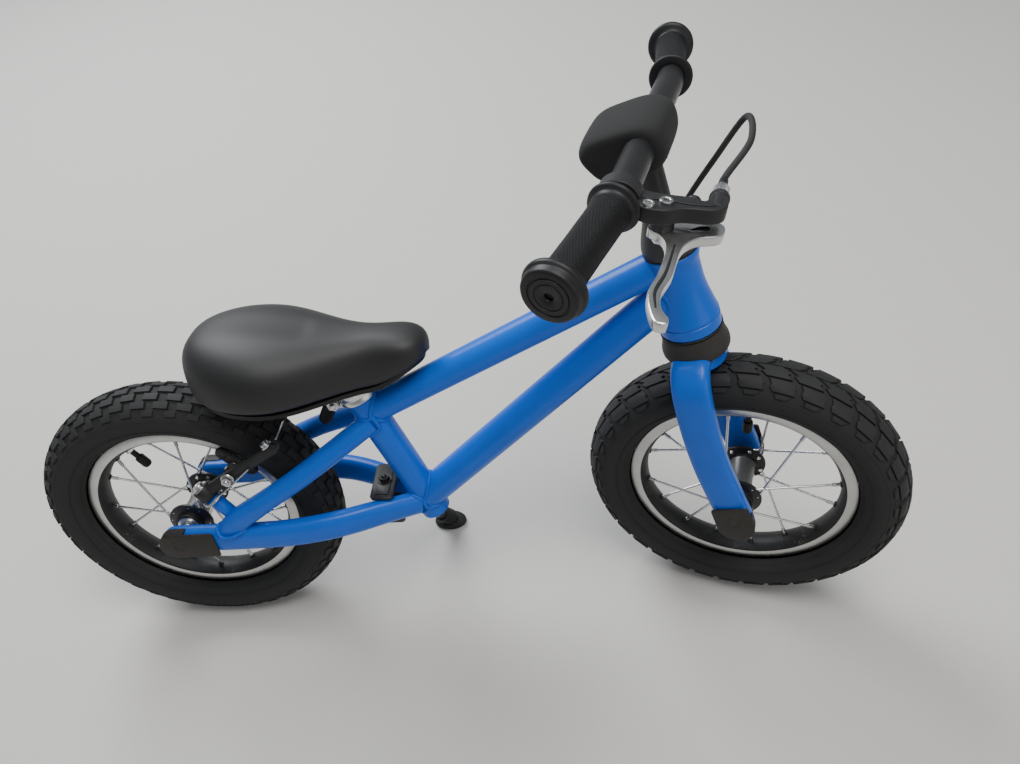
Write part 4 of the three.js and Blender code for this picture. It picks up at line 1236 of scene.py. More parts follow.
    def hub(self) -> None:
        """The barrel, the two flanges with their spoke heads, and the spokes."""
        profile = [(5.3, -31), (13.6, -31), (14, -30.6), (14.2, -26.2), (20.5, -25.2), (22, -24.6),
                   (22.2, -23.6),
                   (22, -22.2), (20.8, -21.6), (14.6, -20.6), (13, -18.6), (12.4, -16), (11.6, 0)]
        profile += [(r, -y) for r, y in reversed(profile[:-1])]
        kinds = [1] * 10 + [0] * 4 + [1] * 10
        shape = lathe(profile, 56, kinds)
        for side in (-1, 1):
            dust = lathe([(5.2, 30.2), (11.2, 30.2), (11.2, 31.4), (5.2, 31.4)], 32)
            shape.add(dust, Matrix.Diagonal((1, side, side, 1)), 2)
        for n in range(self.spokes):
            start, end = self.spoke(n)
            out = vec(0, 0, math.copysign(1, start.z))
            elbow = start + out * 1.6
            path = [start - out * 2.6, elbow, *[elbow.lerp(end, k / 5) for k in range(1, 6)]]
            shape.add(sweep(path, [oval(2.5, 2.5, 10)]), kind=2)
            shape.add(lathe([(0, 0), (2.1, 0), (1.7, 1.0), (0, 1.3)], 12), aimed(start - out * 2.2, -out),
                      2)
        self.show("hub_shell", shape, [HUB_BARREL, BLACK_COAT, SPOKE],
                  ["hub", "bearing_left", "bearing_right"])

    def valve_stem(self) -> None:
        """The valve with its nut and ribbed cap, on the wheel's X axis."""
        turn = aimed(vec(98, 0, 0), vec(-1, 0, 0))
        shape = Shape().add(lathe([(2.9, 0), (2.9, 26), (0, 26)], 20), turn)
        rows = [(4.2, 18.0), (4.4, 18.6), (4.4, 29.6), (3.9, 31), (2.4, 32), (0, 32)]
        cap = Shape().add(lathe([(2.8, 18.0), *rows], 24), turn)
        for k in range(10):
            a = 2 * math.pi * k / 10
            foot = vec(4.3 * math.cos(a), 4.3 * math.sin(a), 19)
            cap.add(rod(foot, foot + vec(0, 0, 10), 0.35, 6), turn)
        nut = Shape().add(lathe([(3, 6.2), (4.6, 6.2), (4.6, 9), (3, 9)], 24, hexed=(1, 2)), turn)
        shape.add(cap, kind=0)
        shape.add(nut, kind=1)
        self.show("valve", shape, [SEAL, STEEL], ["inner_tube"])


@dataclass
class Fork:
    """The steerer, the legs with their covers, the bumper, the headset's cap and the front axle."""

    layout: Layout
    half: float = 46.0
    size: Pair = (33.0, 18.0)
    axle_at: Pair = (7.0, -0.23)

    def build(self) -> None:
        """Makes every piece of the fork."""
        place = self.layout.steered
        crown = lathe([(0, 155.4), (21.6, 155.4), (23.4, 156.6), (24, 159), (24, 171.6), (12.6, 171.6),
                       (12.6, 200)], 48)
        Studio.piece("fork_crown", crown, place, "fork", [BLUE], ["fork_steerer"])
        skirt = [(13.4, 169), (27.4, 169), (28.6, 169.6), (29.2, 171), (29.4, 174), (29.0, 177.4),
                 (27.8, 181),
                 (27.0, 185), (26.8, 188.4), (26.2, 190.2), (24.5, 190.6), (13.4, 190.6)]
        Studio.piece("crown_bumper_shell", lathe(skirt, 64), place, "fork", [BUMPER], ["crown_bumper"])
        dome = [(22.3, 269.8), (22.5, 270.4), (22.5, 274), (22.1, 277.5), (21.0, 282), (19.2, 287.5),
                (17.0, 293.5),
                (15.2, 299), (14.2, 303.5), (13.6, 306), (13.2, 307.6), (11.4, 308)]
        Studio.piece("headset_dome", lathe(dome, 64), place, "fork", [DOME], ["headset_cap"])
        Studio.piece("front_axle_shaft", axle_shape(52, 36.7),
                     self.layout.wheel("front_wheel_spin", self.layout.steered, 0), "fork", [ZINC],
                     ["front_axle"])
        for name, side in (("left", 1), ("right", -1)):
            self.leg(name, side)
            self.cover(name, side)

    def leg(self, name: str, side: int) -> None:
        """One leg, with its shoulder, its flat faces and its round end."""
        ax, az = self.axle_at
        points = [vec(x, side * y, z) for x, y, z in ((-2, 14, 166), (-2, 30, 166), (-2, 41.5, 156),
                                                      (-3, self.half, 122), (-2, self.half, 70),
                                                      (3, self.half, 25),
                                                      (ax, self.half, az - 6))]
        path = spline(points, 7)
        wide, thick = self.size
        sections = [oval(wide, thick, 40, 3.2) for _ in path]
        last = path[-1]
        for k in range(1, 9):
            turn = math.pi / 2 * k / 8
            path.append(last + vec(0.9 * math.sin(turn), 0, -16.4 * math.sin(turn)))
            sections.append(oval(max(1.5, wide * math.cos(turn)), thick * (0.86 + 0.14 * math.cos(turn)),
                                 40, 3.2))
        shape = sweep(path, sections, vec(1, 0, 0))
        Studio.piece(f"fork_leg_shell_{name}", shape, self.layout.steered, "fork", [BLUE],
                     [f"fork_leg_{name}"],
                     sharp=50)

    def cover(self, name: str, side: int) -> None:
        """The moulded cover on one leg's end."""
        ax, az = self.axle_at
        low, high = vec(ax, 0, az - 7), vec(ax - 1.5, 0, az + 19)
        up, out = (high - low).normalized(), vec(0, side, 0)
        place = basis(low + out * (self.half + self.size[1] / 2 + 1.4), up.cross(out), up, out)
        shape = Shape().add(moulded_cover(self.size[0] / 2 + 0.9, (high - low).length, 7), place)
        Studio.piece(f"fork_cover_shell_{name}", shape, self.layout.steered, "fork", [COVER],
                     [f"fork_cover_{name}"])


# ---------------------------------------------------------------- cockpit
@dataclass
class Cockpit:
    """The stem, the bar with its grips, and the soft pad over the stem."""

    layout: Layout
    bar_place: tuple[float, float, float] = (6.0, 0.0, 366.0)
    bar_half: float = 205.0
    bar_radius: float = 11.1
    bend: float = 104.0
    sweep_back: float = 17.0
    grip_start: float = 108.0
    pad_half: float = 33.0

    def build(self) -> None:
        """Makes every piece of the cockpit."""
        self.stem()
        self.bar()
        for name, side in (("left", 1), ("right", -1)):
            self.grip(name, side)
        self.pad()

    def bar_at(self, y: float) -> Vector:
        """A point on the bar's axis."""
        past = max(0.0, abs(y) - self.bend)
        x, _, z = self.bar_place
        return vec(x - self.sweep_back * past / (self.bar_half - self.bend), y, z)

    def stem(self) -> None:
        """The quill, the clamp round the bar, its pinch bolt and the expander's bolt."""
        x, _, z = self.bar_place
        shape = rod(vec(0, 0, 190), vec(0, 0, z - 10), 11.0, 40, 0.8)
        barrel = lathe([(11.2, -19), (15.2, -19), (16, -18.2), (16, 18.2), (15.2, 19), (11.2, 19)], 56)
        shape.add(barrel, aimed(vec(x, 0, z), vec(0, 1, 0)))
        shape.add(flat_piece(rounded([(-6, -9), (6, -9), (7, 0), (6, 9), (-6, 9), (-7, 0)], 3), 9, 1.5),
                  aimed(vec(x, 0, z - 17), vec(0, 0, 1)))
        shape.add(bolt_head(4.2, 3.2), aimed(vec(x + 7, 0, z - 17), vec(1, 0, 0)), kind=1)
        Studio.piece("stem_body", shape, self.layout.steered, "fork", [BLACK_COAT, STEEL], ["stem"])
        wedge = rod(vec(0, 0, 178.6), vec(0, 0, 189.4), 10.9, 32, 0.6)
        wedge.add(rod(vec(0, 0, 180), vec(0, 0, 336), 3.9, 20, 0.5))
        Studio.piece("expander_bolt", wedge, self.layout.steered, "fork", [ZINC], ["stem_expander"])

    def bar(self) -> None:
        """The bar, gently bent back towards the rider."""
        stops = (-201, -150, -118, -98, -70, 0, 70, 98, 118, 150, 201)
        path = spline([self.bar_at(y) for y in stops], 6)
        shape = sweep(path, [oval(2 * self.bar_radius, 2 * self.bar_radius, 48)], vec(0, 0, 1))
        Studio.piece("handlebar_tube", shape, self.layout.steered, "fork", [BLACK_COAT], ["handlebar"])

    def grip(self, name: str, side: int) -> None:
        """One grip, with its inner flange, hatched middle, and end flange with a ringed cap."""
        start, end = self.bar_at(side * self.grip_start), self.bar_at(side * self.bar_half)
        n = (end - start).length
        inner = [(11.4, 0), (16.4, 0), (17.5, 0.5), (18, 1.6), (17.7, 2.7), (16.6, 3.6), (15.0, 4.3),
                 (14.1, 5.4),
                 (13.8, 7.2)]
        middle = [(13.7, 8.2), (13.35, 22), (13.1, n * 0.5), (13.2, n - 22), (13.5, n - 14.4)]
        flange = [(13.9, n - 13.2), (15, n - 12.2), (17.6, n - 11.3), (19.6, n - 10.4), (20.4, n - 9.2),
                  (20.4, n - 7.4), (19.8, n - 6.2), (18.8, n - 5.6), (18.4, n - 4.8), (18.3, n - 1.6),
                  (17.6, n - 0.4),
                  (16.6, n)]
        cap = [(13.6, n), (13.2, n - 0.7), (12.4, n - 0.7), (12.0, n), (9.4, n), (9.1, n - 0.5),
               (8.5, n - 0.5),
               (8.2, n), (3.4, n), (2.8, n - 0.5), (2.5, n - 2.4), (0, n - 2.6)]
        kinds = [1] * len(inner) + [0] * (len(middle) - 1) + [1] * (len(flange) + len(cap))
        shape = Shape().add(lathe(inner + middle + flange + cap, 72, kinds), aimed(start, end - start))
        Studio.piece(f"grip_sleeve_{name}", shape, self.layout.steered, "fork", [GRIP, GRIP_SMOOTH],
                     [f"grip_{name}"],
                     sharp=50)

    def pad(self) -> None:
        """The stuffed cover over the stem: wide on top, drawn in below, with rounded sides."""
        side = rounded([(20, 351), (25, 362), (23, 376), (11, 384), (-13, 384), (-33, 380), (-40.6, 370.6),
                        (-37, 357), (-29.5, 347), (-8, 345.4), (12, 345.6)], 6)
        middle_x, middle_z = -7.0, 363.0
        rows = []
        for k in range(1, 32):
            turn = math.pi * (k / 32 - 0.5)
            y = self.pad_half * math.copysign(abs(math.sin(turn)) ** 0.4, math.sin(turn))
            draw = math.cos(turn) ** 0.2
            row = []
            for x, z in side:
                low = smoothstep(z, 372, 346)
                crown = 1.4 * math.cos(y / self.pad_half * math.pi / 2) if z > 372 else 0.0
                row.append(vec(middle_x + (x - middle_x) * draw, y * (1 - 0.1 * low),
                               middle_z + (z - middle_z) * draw + crown))
            rows.append(row)
        shape = Shape().sheet(rows, ends=True)
        cover = Studio.piece("stem_pad_cover", shape, self.layout.steered, "fork", [PAD_TOP], ["stem_pad"],
                             smooth=1)


# ---------------------------------------------------------------- brake lever
@dataclass
class BrakeLever:
    """The bracket on the bar, the alloy blade that turns in it, and the cable adjuster."""

    layout: Layout
    pivot: Pair = (30.0, -101.0)
    clamp_bolt: Pair = (20.0, -108.0)
    cable_x: float = 61.0
    blade_up: float = -16.0

    def build(self) -> None:
        """Makes the bracket, the blade and the adjuster."""
        self.bracket()
        self.blade()
        self.adjuster()

    def bracket(self) -> None:
        """The clamp ring, the arm out to the adjuster, and the two bolts."""
        ring = lathe([(11.5, 0), (14.7, 0), (15.5, 0.8), (15.5, 12.2), (14.7, 13), (11.5, 13)], 64)
        shape = Shape().add(ring, aimed(vec(0, -104, 0), vec(0, 1, 0)))
        arm = rounded([(9, -105), (8, -92), (26, -90.5), (44, -88), (53, -89), (57, -78), (65, -78),
                       (67, -92),
                       (60, -99), (42, -104), (31, -111), (18, -112)], 5)
        shape.add(flat_piece(arm, 11, 1.1))
        raised = rounded([(14, -101), (14, -95), (30, -94), (46, -92.5), (58, -91), (60, -94), (44, -99),
                          (32, -99)], 4)
        shape.add(flat_piece(raised, 12.6, 0.5))
        seat = [(0, 0), (5.4, 0), (6.2, 0.8), (6.2, 16), (6.8, 16.6), (6.8, 19), (6.2, 19.8), (0, 19.8)]
        shape.add(lathe(seat, 40), aimed(vec(self.cable_x, -92, 0), vec(0, 1, 0)))
        px, py = self.pivot
        shape.add(lathe([(0, -13), (7.2, -13), (8, -12), (8, 5), (0, 5)], 40),
                  Matrix.Translation((px, py, 0)))
        shape.add(bolt_head(4.4, 2.6), Matrix.Translation((px, py, 5.2)), 1)
        shape.add(bolt_head(3.9, 2.4), Matrix.Translation((*self.clamp_bolt, 5.2)), 1)
        shape.add(lathe([(0, -20), (4.6, -20), (4.8, -13), (0, -13)], 32), Matrix.Translation((px, py, 0)),
                  2)
        shape.add(lathe([(0, -23), (4.4, -23), (4.8, -22.4), (4.8, -20), (0, -20)], 36, hexed=(1, 2, 3)),
                  Matrix.Translation((px, py, 0)), 1)
        shape.add(lathe([(0, 0), (4.6, 0), (5, 0.5), (5, 3), (4.2, 3.8), (0, 4)], 32),
                  aimed(vec(46, -87, 0),
                                                                                         vec(-0.1, 1, 0)),
                                                                                         0)
        Studio.piece("lever_bracket_body", shape, self.layout.lever, "fork", [BRACKET, STEEL, BRASS],
                     ["lever_bracket"])

    def blade(self) -> None:
        """The cast blade with its cable eye, finger curve and ball end, with painted shade: a dark strip on
        each face along the finger recess and a dark fill that shows through the cable eye.
        """
        outline = rounded([(22, -104), (26, -93.5), (42, -90), (59, -81.5), (68, -83), (68.5, -96),
                           (54, -106),
                           (47, -118), (45.5, -150), (42.5, -170), (45, -184), (50, -191), (50, -196.5),
                           (44, -197.5),
                           (38.5, -188), (34.5, -172), (37, -150), (36, -118), (30, -109)], 5)
        eye = rounded([(46, -99), (53, -90), (60, -88.5), (61, -94)], 5)
        shape = flat_piece(outline, 7.5, 1.3, [eye, circle(*self.pivot, 3.3)])
        # Painted shade: a dark fill inside the blade, seen through the cable eye.
        eye_shade_fill = flat_piece(rounded([(40, -101), (48, -88.5), (63, -85.5), (64, -95), (52, -102.5)], 5),
                            5.6, 0.4)
        shape.add(eye_shade_fill, kind=1)
        # Painted shade: a dark strip on each face along the finger recess.
        groove_shade_path = spline([vec(41.6, -118, 0), vec(41.2, -150, 0), vec(38.6, -171, 0), vec(41.5, -185, 0)], 8)
        sizes = [oval(mixed(3.2, 1.6, abs(2 * k / (len(groove_shade_path) - 1) - 1)), 0.9,
                      12) for k in range(len(groove_shade_path))]
        for level in (-3.5, 3.5):
            lifted = [p + vec(0, 0, level) for p in groove_shade_path]
            shape.add(sweep(lifted, sizes, vec(1, 0, 0)), kind=1)
        drop = Matrix.Translation((0, 0, self.blade_up))
        Studio.piece("lever_blade_casting", Shape().add(shape, drop), self.layout.lever, "brake_lever",
                     [ALLOY, RIM_BLACK], ["lever_blade"], sharp=45)

    def adjuster(self) -> None:
        """The threaded barrel with its knurled knob, lock ring and the cable's ferrule."""
        profile = [(0, 0), (3, 0), (3, 9.2), (5.2, 9.4), (5.6, 9.9), (5.6, 18.4), (5.2, 19), (4.4, 19.2),
                   (3.9, 20),
                   (3.8, 23), (3.2, 23.4), (0, 23.4)]
        kinds = [0, 2, 0, 0, 1, 0, 0, 0, 0, 0, 0]
        shape = Shape().add(lathe(profile, 48, kinds), aimed(vec(self.cable_x, -81, 0), vec(0, 1, 0)))
        Studio.piece("adjuster_knob", shape, self.layout.lever, "fork", [STEEL, KNURLED, THREADED],
                     ["barrel_adjuster"], sharp=35)


# ---------------------------------------------------------------- rear brake
@dataclass
class RearBrake:
    """The two linear-pull arms with their shoes, with X along the seat stays and Z square to them."""

    layout: Layout
    pivot_half: float = 43.0
    stud_along: float = 31.8
    shoe_turn: float = -16.7
    travel: float = 2.5
    wire_along: float = 88.0
    rim_half: float = 13.0

    def build(self) -> None:
        """Makes both arms, both shoes and the bent pipe with its wire."""
        for name, side in (("left", 1), ("right", -1)):
            self.arm(name, side)
            self.shoe(name, side)
        self.pipe()

    def arm(self, name: str, side: int) -> None:
        """One arm with its pivot bolt, its spring and its cable fitting."""
        points = [vec(x, side * y, 0) for x,
                  y in ((-2, 43.2), (12, 42.4), (28, 40.3), (45, 39.4), (62, 38.6),
                                                   (80, 37.2), (95, 36))]
        path = spline(points, 5)
        sections = []
        for p in path:
            waist = smoothstep(p.x, 0, 22) * smoothstep(p.x, 96, 70)
            end = math.sqrt(max(0.04, 1 - max(0.0, (p.x - 88) / 7.2) ** 2))
            sections.append(oval(mixed(12.4, 10.8, waist) * end, mixed(9, 7.8, waist) * (0.4 + 0.6 * end),
                                 28, 3.4))
        shape = sweep(path, sections, vec(0, 0, 1))
        boss = [(4.3, -6.4), (8.4, -6.4), (9, -5.8), (9, 5.8), (8.4, 6.4), (4.3, 6.4)]
        middle = Matrix.Translation((0, side * self.pivot_half, 0))
        shape.add(lathe(boss, 48), middle)
        cap = lathe([(4.2, 6.3), (7.4, 6.3), (7.6, 6.6), (7.6, 7.4), (7.2, 7.7), (0, 7.7)], 40)
        shape.add(cap, middle, 1)
        shape.add(bolt_head(5.0, 3.2), Matrix.Translation((0, side * self.pivot_half, 7.6)), 1)
        coil = [vec(10.2 * math.cos(t), side * self.pivot_half + 10.2 * math.sin(t), -7.8 - 0.22 * t)
                for t in (math.pi / 8 * k for k in range(40))]
        shape.add(sweep(coil, [oval(1.5, 1.5, 8)], vec(0, 0, 1)), kind=1)
        spring = spline([vec(8, side * 50.5, -8), vec(26, side * 47.5, -7), vec(46, side * 45, -4),
                         vec(58, side * 44.4, -2)], 6)
        shape.add(sweep(spring, [oval(1.6, 1.6, 8)], vec(0, 0, 1)), kind=1)
        if side < 0:
            shape.add(lathe([(0, 5.2), (5.4, 5.2), (5.6, 5.6), (5.6, 6.6), (0, 6.6)], 32),
                      Matrix.Translation((self.wire_along - 2, -36.6, 0)), 1)
            shape.add(bolt_head(4.2, 3), Matrix.Translation((self.wire_along - 2, -36.6, 6.5)), 1)
        else:
            holder = flat_piece(rounded([(82, 31), (82, 41), (88, 43), (94, 41), (94, 31), (88, 29)], 3),
                                13.4, 1)
            shape.add(holder, kind=0)
        Studio.piece(f"brake_arm_casting_{name}", shape, self.layout.brake, f"{name}_brake_arm",
                     [ARM, STEEL],
                     [f"brake_arm_{name}"], sharp=45)

    def shoe(self, name: str, side: int) -> None:
        """One shoe, toed open, on its threaded stud with curved washers and a nut."""
        shape = Shape()
        length, steps = 44.0, 24
        path, sections = [], []
        for k in range(steps + 1):
            t = -1 + 2 * k / steps
            along = math.copysign(abs(t) ** 0.8, t) * length / 2
            path.append(vec(-1.1 + along * along / 220, 0, along))
            end = (1 - abs(t) ** 7) ** 0.5
            slot = 0.82 if k in (7, 12, 17) else 1.0
            sections.append(oval(max(2.4, 9.4 * end), max(2.4, 9.2 * end * slot), 24, 4))
        block = sweep(path, sections, vec(1, 0, 0))
        inside = self.rim_half + 0.3 + 4.7
        place = (Matrix.Translation((0, side * self.pivot_half, 0))
                 @ Matrix.Rotation(side * math.radians(self.travel), 4, "Z")
                 @ Matrix.Translation((self.stud_along, side * (inside - self.pivot_half), 0))
                 @ Matrix.Rotation(math.radians(self.shoe_turn), 4, "Y"))
        shape.add(block, place)
        stud = vec(self.stud_along, 0, 0)
        out = vec(0, side, 0)
        shape.add(rod(stud + out * 24, stud + out * 50.5, 2.9, 24, 0.4), kind=1)
        for low, high, wide, kind in ((26.5, 28.6, 4.8, 2), (28.7, 31.0, 6.2, 0), (31.2, 34.6, 6.6, 2),
                                      (44.4, 45.6, 6.6, 2)):
            washer = lathe([(2.9, 0), (wide - 0.6, 0), (wide, 0.5), (wide - 0.4, high - low),
                            (2.9, high - low)], 36)
            shape.add(washer, aimed(stud + out * low, out), kind)
        shape.add(hex_nut(5.4, 3.8), aimed(stud + out * 45.6, out), 2)
        Studio.piece(f"brake_shoe_{name}", shape, self.layout.brake, f"{name}_brake_arm",
                     [SHOE, THREADED, STEEL],
                     [f"brake_pad_{name}"], sharp=45)

    def pipe(self) -> None:
        """The bent pipe, the rubber boot over the wire, and the wire to the far arm."""
        w = self.wire_along
        path = spline([vec(w, 25, 0), vec(w, 40, 0), vec(w + 2, 47.5, 0), vec(w + 10, 51, 0),
                       vec(w + 20, 51, 0)], 8)
        shape = sweep(path, [oval(4.8, 4.8, 28)], vec(0, 0, 1))
        shape.add(rod(vec(w, -24, 0), vec(w, 28, 0), 0.85, 10), kind=0)
        shape.add(lathe([(0, 0), (3.4, 0), (3.4, 1.6), (0, 1.6)], 28), aimed(vec(w, 30, 0), vec(0, 1, 0)))
        shape.add(lathe([(0, 0), (3.2, 0), (3.4, 0.4), (3.4, 6), (3.0, 6.6), (0, 6.6)], 28),
                  aimed(vec(w + 14.6, 51, 0), vec(1, 0, 0)))
        ribs = [(1.0, 0)]
        for k in range(6):
            ribs += [(1.6 + 0.3 * k, 0.4 + 3.6 * k), (2.2 + 0.3 * k, 1.6 + 3.6 * k),
                     (1.6 + 0.3 * k, 3.0 + 3.6 * k)]
        shape.add(lathe([*ribs, (3.9, 22.6), (2.4, 23.4)], 28), aimed(vec(w, 3, 0), vec(0, 1, 0)), 1)
        Studio.piece("brake_noodle_pipe", shape, self.layout.brake, "frame", [STEEL, GRIP_SMOOTH],
                     ["brake_noodle"])


# ---------------------------------------------------------------- brake cable
@dataclass
class BrakeCable:
    """The housing from the lever to the rear brake: a free loop, then a run along the top tube."""

    layout: Layout
    top_start: Vector
    top_end: Vector
    radius: float = 2.45
    clip: tuple[float, float, float] = (-2, 29, 262)
    turn_in: tuple[float, float, float] = (22, 29, 290)
    gap: float = 0.3

    def build(self) -> None:
        """Makes the loop, the rear run and the guides that hold it."""
        self.loop()
        self.rear_run()
        self.guides()

    def loop(self) -> None:
        """The loop between the fork and the frame."""
        head = self.layout.between(self.layout.lever, self.layout.head)
        lever_end = [head @ vec(*p) for p in ((61, -57.7, 0), (61, -46, 0), (72, -8, 12))]
        route = [*lever_end, vec(77, 12, 348), vec(50, 22, 320), Vector(self.turn_in), Vector(self.clip)]
        shape = sweep(spline(route, 14), [oval(2 * self.radius, 2 * self.radius, 20)])
        along = (route[1] - route[0]).normalized()
        ferrule = lathe([(0, 0), (2.9, 0), (3.1, 0.4), (3.1, 9), (2.7, 9.6), (0, 9.6)], 28)
        shape.add(ferrule, aimed(route[0] - along * 0.4, along), 1)
        loop = Studio.piece("cable_loop_housing", shape, self.layout.head, None, [HOUSING, SEAL],
                            ["brake_cable_loop"])
        start, end = ((self.layout.head @ (p * MM)) for p in (Vector(self.clip), route[2]))
        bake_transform(loop)

    def top_side(self, share: float, y: float, lower: float) -> Vector:
        """A point beside the top tube."""
        return self.top_start.lerp(self.top_end, share) + vec(0, y, -lower)

    def rear_run(self) -> None:
        """The run beside the top tube and down to the bent pipe."""
        from_head = self.layout.between(self.layout.head, self.layout.leaned)
        from_brake = self.layout.between(self.layout.brake, self.layout.leaned)
        start, before = from_head @ Vector(self.clip), from_head @ Vector(self.turn_in)
        onward = (start - before).normalized()
        route = [start + onward * self.gap, start + onward * 9, self.top_side(0.8, 17.8, 4),
                 self.top_side(0.45, 17.6, 4), self.top_side(0.12, 18.4, 4), vec(196, 27, 268),
                 vec(168, 43, 272),
                 from_brake @ vec(124, 50.8, 1), from_brake @ vec(108.5, 51, 0)]
        shape = sweep(spline(route, 12), [oval(2 * self.radius, 2 * self.radius, 20)])
        back = (route[-2] - route[-1]).normalized()
        ferrule = lathe([(0, 0), (2.9, 0), (3.1, 0.4), (3.1, 8), (2.7, 8.6), (0, 8.6)], 28)
        shape.add(ferrule, aimed(route[-1], back), 1)
        Studio.piece("cable_rear_housing", shape, self.layout.leaned, "frame", [HOUSING, SEAL],
                     ["brake_cable_rear"])

    def guides(self) -> None:
        """The ringed clips on the head tube and along the hidden side of the top tube."""
        clip = Vector(self.clip)
        down = (clip - Vector(self.turn_in)).normalized()
        ring = lathe([(2.5, -4.4), (3.9, -4.4), (4.2, -4.0), (4.2, 4.0), (3.9, 4.4), (2.5, 4.4)], 32)
        shape = Shape().add(ring, aimed(clip + down * 5.2, down))
        tab = lathe([(0, 0), (3.4, 0), (3.0, 4), (3.0, 8), (0, 8)], 24)
        shape.add(tab, aimed(vec(-2, 19.5, clip.z - 4), vec(0, 1, 0)))
        to_leaned = self.layout.between(self.layout.head, self.layout.leaned)
        both = Shape().add(shape, to_leaned)
        along = (self.top_end - self.top_start).normalized()
        for share in (0.14, 0.46, 0.79):
            both.add(ring, aimed(self.top_side(share, 17.7, 4), along))
        Studio.piece("cable_guides", both, self.layout.leaned, "frame", [BLUE])


# ---------------------------------------------------------------- seat
@dataclass
class Seat:
    """The post with its clamp and quick release, and the saddle on its rails."""

    layout: Layout
    seat_up: Vector
    seat_foot: Vector
    post_radius: float = 12.7
    ear: tuple[float, float, float] = (173.8, 0.0, 280.5)
    back: float = 50.0
    length: float = 220.0
    low: float = 303.0
    middle: float = 322.0
    high: float = 368.0
    wide: float = 65.0
    narrow: float = 26.0
    widest: float = 0.35
    waist: float = 0.82
    dip: float = 15.0
    nose_rise: float = 21.0

    def build(self) -> None:
        """Makes every piece of the seat."""
        self.collar()
        self.quick_release()
        self.post()
        self.cover()
        self.shell()
        self.rails()
        self.rail_clamp()

    def on_seat(self, up: float) -> Vector:
        """A point on the seat tube's axis."""
        return self.seat_foot + self.seat_up * up

    def collar(self) -> None:
        """The split alloy collar with its two ears, its bolt and its nut."""
        profile = [(15.3, 0), (17.7, 0), (18.2, 0.5), (18.2, 5), (17.9, 5.4), (17.9, 6.6), (18.2, 7),
                   (18.2, 11),
                   (17.7, 11.5), (15.3, 11.5)]
        shape = Shape().add(lathe(profile, 64), aimed(self.on_seat(140.3), self.seat_up))
        ear = Vector(self.ear)
        forward = self.on_seat(146) - ear
        for side in (-1, 1):
            block = flat_piece(rounded([(-5.4, -3), (-3, -5.4), (12, -5.6), (12, 5.6), (-3, 5.4),
                                        (-5.4, 3)], 4), 6, 0.8)
            shape.add(block, aimed(ear + vec(0, side * 5, 0), vec(0, side, 0), forward))
        shape.add(rod(ear + vec(0, -12, 0), ear + vec(0, 10, 0), 2.9, 20), kind=1)
        shape.add(hex_nut(6.2, 5.2), aimed(ear + vec(0, -8.3, 0), vec(0, -1, 0)), 1)
        Studio.piece("seat_collar", shape, self.layout.leaned, "frame", [ALLOY, STEEL], ["seat_clamp"])

    def quick_release(self) -> None:
        """The cam and the long paddle that hangs down behind the seat tube."""
        ear = Vector(self.ear)
        axis = vec(0.862, 0, -0.507).normalized()
        centre = ear + vec(0, 16, 0)
        cam = lathe([(0, -5.6), (4.6, -5.6), (5.4, -4.8), (5.4, 4.8), (4.6, 5.6), (0, 5.6)], 40)
        shape = Shape().add(cam, aimed(centre, axis))
        shape.add(lathe([(0, 5.5), (2.6, 5.5), (2.4, 6.4), (0, 6.6)], 24), aimed(centre, axis), 1)
        shape.add(lathe([(0, 5.5), (2.6, 5.5), (2.4, 6.4), (0, 6.6)], 24), aimed(centre, -axis), 1)
        path = spline([centre + vec(*p) for p in ((1, 0, 2), (-6, -1, -9), (-14, -5, -22),
                                                  (-21, -8.5, -35.5))], 9)
        sections = []
        for k in range(len(path)):
            t = k / (len(path) - 1)
            rounding = math.sqrt(max(0.05, 1 - max(0, (t - 0.88) / 0.125) ** 2))
            swell = mixed(9.4, 13.2, smoothstep(t, 0.1, 0.7)) * rounding
            sections.append(oval(swell, mixed(6.4, 4.2, t), 28, 2.6))
        shape.add(sweep(path, sections, axis))
        Studio.piece("quick_release_paddle", shape, self.layout.leaned, "seat_release", [BRACKET, STEEL],
                     ["quick_release_lever"])

    def post(self) -> None:
        """The chromed post."""
        r = self.post_radius
        profile = [(r - 1.6, 0), (r - 0.4, 0), (r, 0.5), (r, 140), (r, 158), (r - 0.6, 158.6),
                   (r - 1.6, 158.6)]
        shape = Shape().add(lathe(profile, 64), aimed(self.on_seat(3), self.seat_up))
        Studio.piece("seat_post_tube", shape, self.layout.leaned, "seat", [POST], ["seat_post"])

    def half_width(self, share: float) -> float:
        """The saddle's half-width at a share of its length from the back."""
        if share < self.widest:
            return self.wide * math.sqrt(max(0.0, 1 - ((share - self.widest) / self.widest) ** 2))
        width = mixed(self.wide, self.narrow, smoothstep(share, self.widest, self.waist))
        return width if share < 0.88 else width * math.sqrt(max(0.0, 1 - ((share - 0.88) / 0.12) ** 2))

    def station(self, share: float) -> tuple[float, float, float, float]:
        """The saddle's half-width, underside, middle and top at a share of its length."""
        lift = self.nose_rise * smoothstep(share, 0.76, 1)
        top = self.high - self.dip * smoothstep(share, 0.2, 0.75)
        centre = min(self.middle + 0.6 * lift, top - 4)
        return self.half_width(share), self.low + lift, centre, top

    def rows(self, count: int) -> list[float]:
        """Shares of the saddle's length, close together at both ends."""
        return [0.5 - 0.5 * math.cos(math.pi * (k + 0.5) / count) for k in range(count)]

